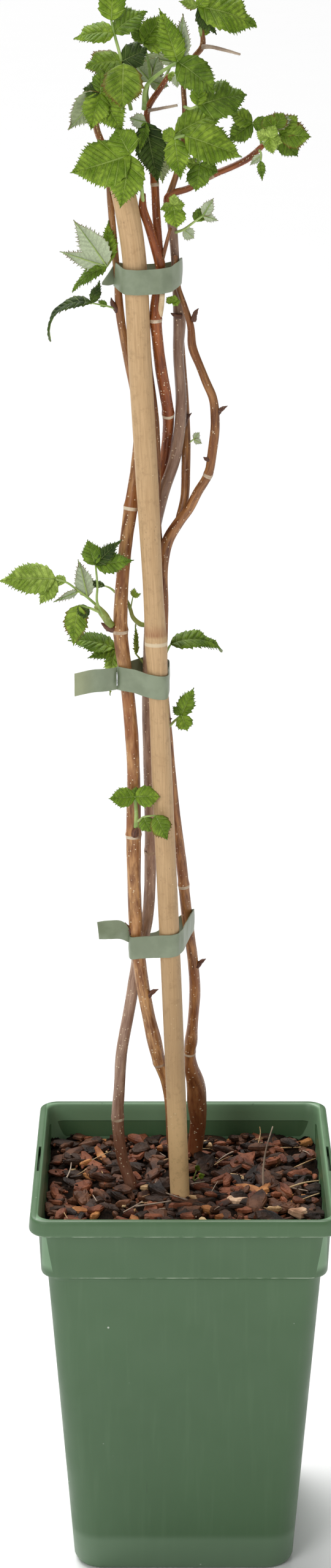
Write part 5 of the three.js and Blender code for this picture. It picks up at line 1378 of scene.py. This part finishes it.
def chip(piece, rng, centre, heading, size, slot, lean=0.35):
    """An irregular flat piece of bark: rough outline, three layers, a bulge at the middle."""
    length, width, thick = size
    sides = rng.choice((7, 8, 9, 10))
    turn = Vector((math.cos(heading), math.sin(heading), rng.uniform(-lean, lean))).normalized()
    side = turn.cross(Vector((rng.uniform(-lean, lean), rng.uniform(-lean, lean), 1))).normalized()
    up = side.cross(turn)
    outline = []
    for k in range(sides):
        a = 2 * math.pi * (k + rng.uniform(-0.3, 0.3)) / sides
        outline.append((math.cos(a) * rng.uniform(0.72, 1.1), math.sin(a) * rng.uniform(0.65, 1.15)))
    cup = rng.uniform(-0.3, 0.3) * width
    layers = []
    for level, share in ((-0.5, 0.78), (-0.2, 1.0), (0.28, 0.97), (0.5, 0.74)):
        ring = []
        for x, y in outline:
            p = centre + turn * (x * share * length / 2) + side * (y * share * width / 2)
            p += up * (level * thick * rng.uniform(0.75, 1.25) + cup * y * y * 0.4)
            ring.append(piece.vert(inside_pot(p)))
        layers.append(ring)
    for low, high in zip(layers, layers[1:]):
        for k in range(sides):
            j = (k + 1) % sides
            piece.face([low[k], low[j], high[j], high[k]], slot)
    top = piece.vert(inside_pot(centre + up * (thick * rng.uniform(0.4, 0.62))))
    bottom = piece.vert(inside_pot(centre - up * (thick * 0.5)))
    for k in range(sides):
        j = (k + 1) % sides
        piece.face([layers[3][k], layers[3][j], top], slot)
        piece.face([layers[0][j], layers[0][k], bottom], slot)


CHIP_LOOKS = ["chip_dark", "chip_brown", "chip_red", "chip_orange", "chip_straw", "chip_stone"]
# Larger pieces that stand out: [x, y, length, width, thickness, heading, look]
MARKED_CHIPS = [
    [-51, -29, 13, 6, 3, 10, 3], [-44, -33, 9, 5, 2.6, 60, 3], [11, -27, 13, 6, 3, -20, 3],
    [18, -34, 8, 5, 3, 40, 3], [-50, 29, 9, 5, 2.4, 30, 3], [-26, 33, 9, 4, 2.4, 80, 2],
    [19, 52, 8, 4, 2.4, 15, 2], [42, -9, 9, 5, 2.6, 0, 3], [27, -15, 13, 8, 4.5, 15, 5],
    [57, -31, 11, 7, 4, -10, 5], [-30, -20, 12, 5, 3, 35, 1], [2, -37, 10, 6, 3, 0, 2],
    [-8, -30, 14, 5, 3, -35, 1], [36, -33, 12, 6, 3, 20, 0], [-20, -36, 11, 6, 3, 70, 0],
    [48, 14, 12, 5, 3, 45, 1], [-62, -12, 9, 5, 3, 85, 2], [-40, 6, 13, 5, 3, -15, 1],
    [60, -8, 9, 4, 2.5, 75, 3], [44, -26, 8, 4, 2.5, 0, 4],
]


def make_mulch_chips(materials):
    rng = random.Random("mulch")
    piece = Piece()
    kinds = [0] * 36 + [1] * 34 + [2] * 22 + [3] * 4 + [4] * 2
    for _ in range(900):
        x = rng.uniform(-66, 66)
        y = rng.uniform(-66, 66)
        length = rng.choice((6, 7, 8, 10, 12, 14, 17)) * rng.uniform(0.8, 1.2)
        width = length * rng.uniform(0.34, 0.62)
        thick = clamp(length * rng.uniform(0.16, 0.3), 0.9, 3.2)
        z = mulch_height(x, y) + rng.uniform(-1.6, 1.0)
        chip(piece, rng, Vector((x, y, z)), rng.uniform(0, 6.28), (length, width, thick), rng.choice(kinds))
    for x, y, length, width, thick, heading, look in MARKED_CHIPS:
        centre = Vector((x, y, mulch_height(x, y) + 1.4))
        chip(piece, rng, centre, math.radians(heading), (length, width, thick), look, 0.15)
    for _ in range(420):
        x = rng.uniform(-67, 67)
        y = rng.uniform(-67, 67)
        size = rng.uniform(1.2, 3.0)
        centre = Vector((x, y, mulch_height(x, y) + rng.uniform(0, 1.4)))
        chip(piece, rng, centre, rng.uniform(0, 6.28), (size, size * 0.6, size * 0.4), rng.choice(kinds), 0.8)
    bark = piece.finish("mulch_chips", [materials[m] for m in CHIP_LOOKS], smooth=False)
    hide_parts("bark_mulch")


# Thin twigs and straws on the mulch: [x, y, heading, length, rise in degrees, radius]
MARKED_TWIGS = [
    [40, 2, 60, 31, 72, 0.55], [-4, -2, 20, 16, 6, 0.5], [3, -16, 160, 15, 10, 0.5],
    [-14, -12, 110, 12, 14, 0.45], [52, -2, 15, 17, 8, 0.5], [30, -20, -30, 14, 5, 0.45],
    [-60, 10, 80, 16, 10, 0.5], [-24, -26, 12, 18, 4, 0.5],
]


def make_twigs(materials):
    rng = random.Random("twigs")
    piece = Piece()
    rows = list(MARKED_TWIGS)
    for _ in range(46):
        rows.append([
            rng.uniform(-62, 62), rng.uniform(-62, 62), rng.uniform(0, 360),
            rng.uniform(5, 16), rng.uniform(-4, 22), rng.uniform(0.2, 0.5),
        ])
    for x, y, heading, length, rise, radius in rows:
        h, e = math.radians(heading), math.radians(rise)
        step = Vector((math.cos(h) * math.cos(e), math.sin(h) * math.cos(e), math.sin(e)))
        start = Vector((x, y, mulch_height(x, y) + 0.6))
        bow = Vector((rng.uniform(-1, 1), rng.uniform(-1, 1), rng.uniform(0, 1))) * 0.06 * length
        stations = []
        for t in (0, 0.33, 0.66, 1):
            p = inside_pot(start + step * (t * length) + bow * math.sin(math.pi * t))
            stations.append([p.x, p.y, p.z, radius * lerp(1, 0.55, t)])
        tube(piece, smooth_path(stations, 2.2), 6, rng.choice((0, 0, 1)))
    made = piece.finish("mulch_twigs", [materials["chip_straw"], materials["twig_dry"]])


def make_seedling(materials):
    """A small green sprout in the mulch at the foot of the stake."""
    piece = Piece()
    for angle, tall in ((-24, 6), (18, 8), (46, 5)):
        along = heading_of(angle, 10)
        path = [[*(Vector((4, 6, 184)) + along * (tall * t)), 0.45 * (1 - 0.5 * t)] for t in (0, 0.4, 0.8, 1)]
        tube(piece, path, 6, 0)
        tip = Vector(path[-1][:3])
        leaflet(piece, tip, [0, angle, 4.2, 1.5, 30, 30, 0, 12, 20, "bright"], (1, 2, 0), f"seedling{angle}")
    looks = [materials[name] for name in ("petiole", "leaf_bright", "under_bright")]
    made = piece.finish("mulch_sprout", looks)


# ---- materials in use ----
def leaf_looks():
    # The bright, mid and dark tones are one green painted lit, half lit and shaded: painted light and painted
    # shade. Young, red and pale are colours of their own.
    tones = {
        "bright": (srgb(92, 124, 12), srgb(152, 180, 58), None, srgb(164, 178, 128)),
        "mid": (srgb(76, 106, 14), srgb(126, 156, 46), None, srgb(150, 164, 116)),
        "dark": (srgb(30, 50, 8), srgb(76, 100, 30), None, srgb(118, 134, 92)),
        "young": (srgb(112, 142, 26), srgb(180, 204, 98), None, srgb(172, 186, 132)),
        "red": (srgb(92, 122, 16), srgb(150, 176, 62), srgb(112, 66, 34), srgb(168, 180, 136)),
        "pale": (srgb(104, 132, 32), srgb(152, 176, 78), srgb(128, 92, 60), srgb(190, 202, 166)),
    }
    looks = {}
    for tone, (base, light, margin, under) in tones.items():
        looks["leaf_" + tone] = leaf_upper("leaf_" + tone, base, light, margin)
        looks["under_" + tone] = leaf_under("under_" + tone, under, shade(under, 0.72))
    return looks


def all_looks():
    looks = {
        "bark_red_brown": bark_material(
            "bark_red_brown", srgb(116, 66, 30), srgb(204, 154, 100), srgb(156, 90, 42), 1.0,
        ),
        "bark_grey_tan": bark_material(
            "bark_grey_tan", srgb(132, 98, 78), srgb(186, 154, 130), srgb(148, 112, 92), 0.9,
        ),
        "bark_red": bark_material("bark_red", srgb(112, 52, 20), srgb(196, 114, 56), srgb(146, 66, 26), 0.6),
        "bark_brown": bark_material(
            "bark_brown", srgb(104, 58, 28), srgb(192, 136, 82), srgb(138, 78, 40), 0.9,
        ),
        "scar": chip_material("cane_scar", srgb(150, 118, 92), srgb(222, 206, 180), 0.6),
        "bristle": chip_material("cane_bristle", srgb(200, 186, 160), srgb(232, 224, 206), 0.6),
        "bud_brown": bark_material(
            "bud_brown", srgb(66, 36, 24), srgb(128, 82, 56), srgb(92, 52, 36), 0.2, 0.5,
        ),
        "stub_cream": chip_material("stub_cream", srgb(190, 158, 118), srgb(226, 204, 168), 0.6),
        "stem_green": plain_stem_material("stem_green", srgb(118, 132, 52), srgb(156, 166, 84)),
        "petiole": plain_stem_material("petiole_green", srgb(120, 148, 66), srgb(164, 186, 104)),
        "twig_dry": plain_stem_material("twig_dry", srgb(128, 104, 88), srgb(176, 156, 136), 0.7),
        "chip_dark": chip_material("chip_dark", srgb(24, 14, 8), srgb(62, 40, 26)),
        "chip_brown": chip_material("chip_brown", srgb(50, 29, 18), srgb(108, 69, 46)),
        "chip_red": chip_material("chip_red", srgb(80, 40, 24), srgb(140, 82, 54)),
        "chip_orange": chip_material("chip_orange", srgb(136, 80, 40), srgb(192, 132, 78)),
        "chip_straw": chip_material("chip_straw", srgb(150, 112, 72), srgb(216, 186, 140)),
        "chip_stone": chip_material("chip_stone", srgb(168, 124, 96), srgb(226, 190, 156), 0.7),
    }
    looks.update(leaf_looks())
    return looks


# ---- stage ----
def make_stage():
    bpy.ops.mesh.primitive_plane_add(size=60, location=(0, 14, -0.0004))
    floor = bpy.context.object
    floor.name = "studio_floor"
    floor.data.materials.append(floor_material())


def add_area(name, location, target, size, power):
    data = bpy.data.lights.new(name, "AREA")
    data.shape = "RECTANGLE"
    data.size, data.size_y = size
    data.energy = power
    lamp = bpy.data.objects.new(name, data)
    lamp.location = location
    lamp.rotation_euler = (Vector(target) - Vector(location)).to_track_quat("-Z", "Y").to_euler()
    bpy.context.scene.collection.objects.link(lamp)


def make_lights():
    world = bpy.data.worlds.new("studio")
    bpy.context.scene.world = world
    world.use_nodes = True
    world.node_tree.nodes["Background"].inputs["Color"].default_value = (1, 1, 1, 1)
    world.node_tree.nodes["Background"].inputs["Strength"].default_value = 0.18
    data = bpy.data.lights.new("sky_panel", "SUN")
    data.energy = 3.35
    data.angle = math.radians(50)
    lamp = bpy.data.objects.new("sky_panel", data)
    lamp.rotation_euler = Vector((-0.3, 0.5, 1.0)).to_track_quat("Z", "Y").to_euler()
    bpy.context.scene.collection.objects.link(lamp)
    add_area("key", (-1.1, -1.7, 1.5), (0, 0, 0.4), (1.0, 1.6), 20)
    add_area("fill", (1.6, -1.2, 1.2), (0, 0, 0.35), (0.8, 1.6), 5)


def make_camera():
    data = bpy.data.cameras.new("view")
    data.lens = 71.12
    data.sensor_width = 36
    camera = bpy.data.objects.new("view", data)
    camera.location = (-0.0092, -1.4306, 0.8350)
    camera.rotation_euler = (math.radians(90 - 17.04), 0, 0)
    bpy.context.scene.collection.objects.link(camera)
    bpy.context.scene.camera = camera


def main():
    bpy.context.scene.view_settings.view_transform = "Standard"
    make_camera()
    make_lights()
    make_stage()
    looks = all_looks()
    make_pot(pot_material())
    crumb = compost_material()
    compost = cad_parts["potting_compost"]
    compost.data.materials.clear()
    compost.data.materials.append(crumb)
    make_mulch_bed(crumb)
    make_mulch_chips(looks)
    make_twigs(looks)
    make_seedling(looks)
    make_stake(bamboo_material(), looks["chip_straw"])
    make_canes(looks)
    make_shoots(looks)
    make_tapes(tape_material())
    make_staple(wire_material())
    make_leaves(looks)


main()
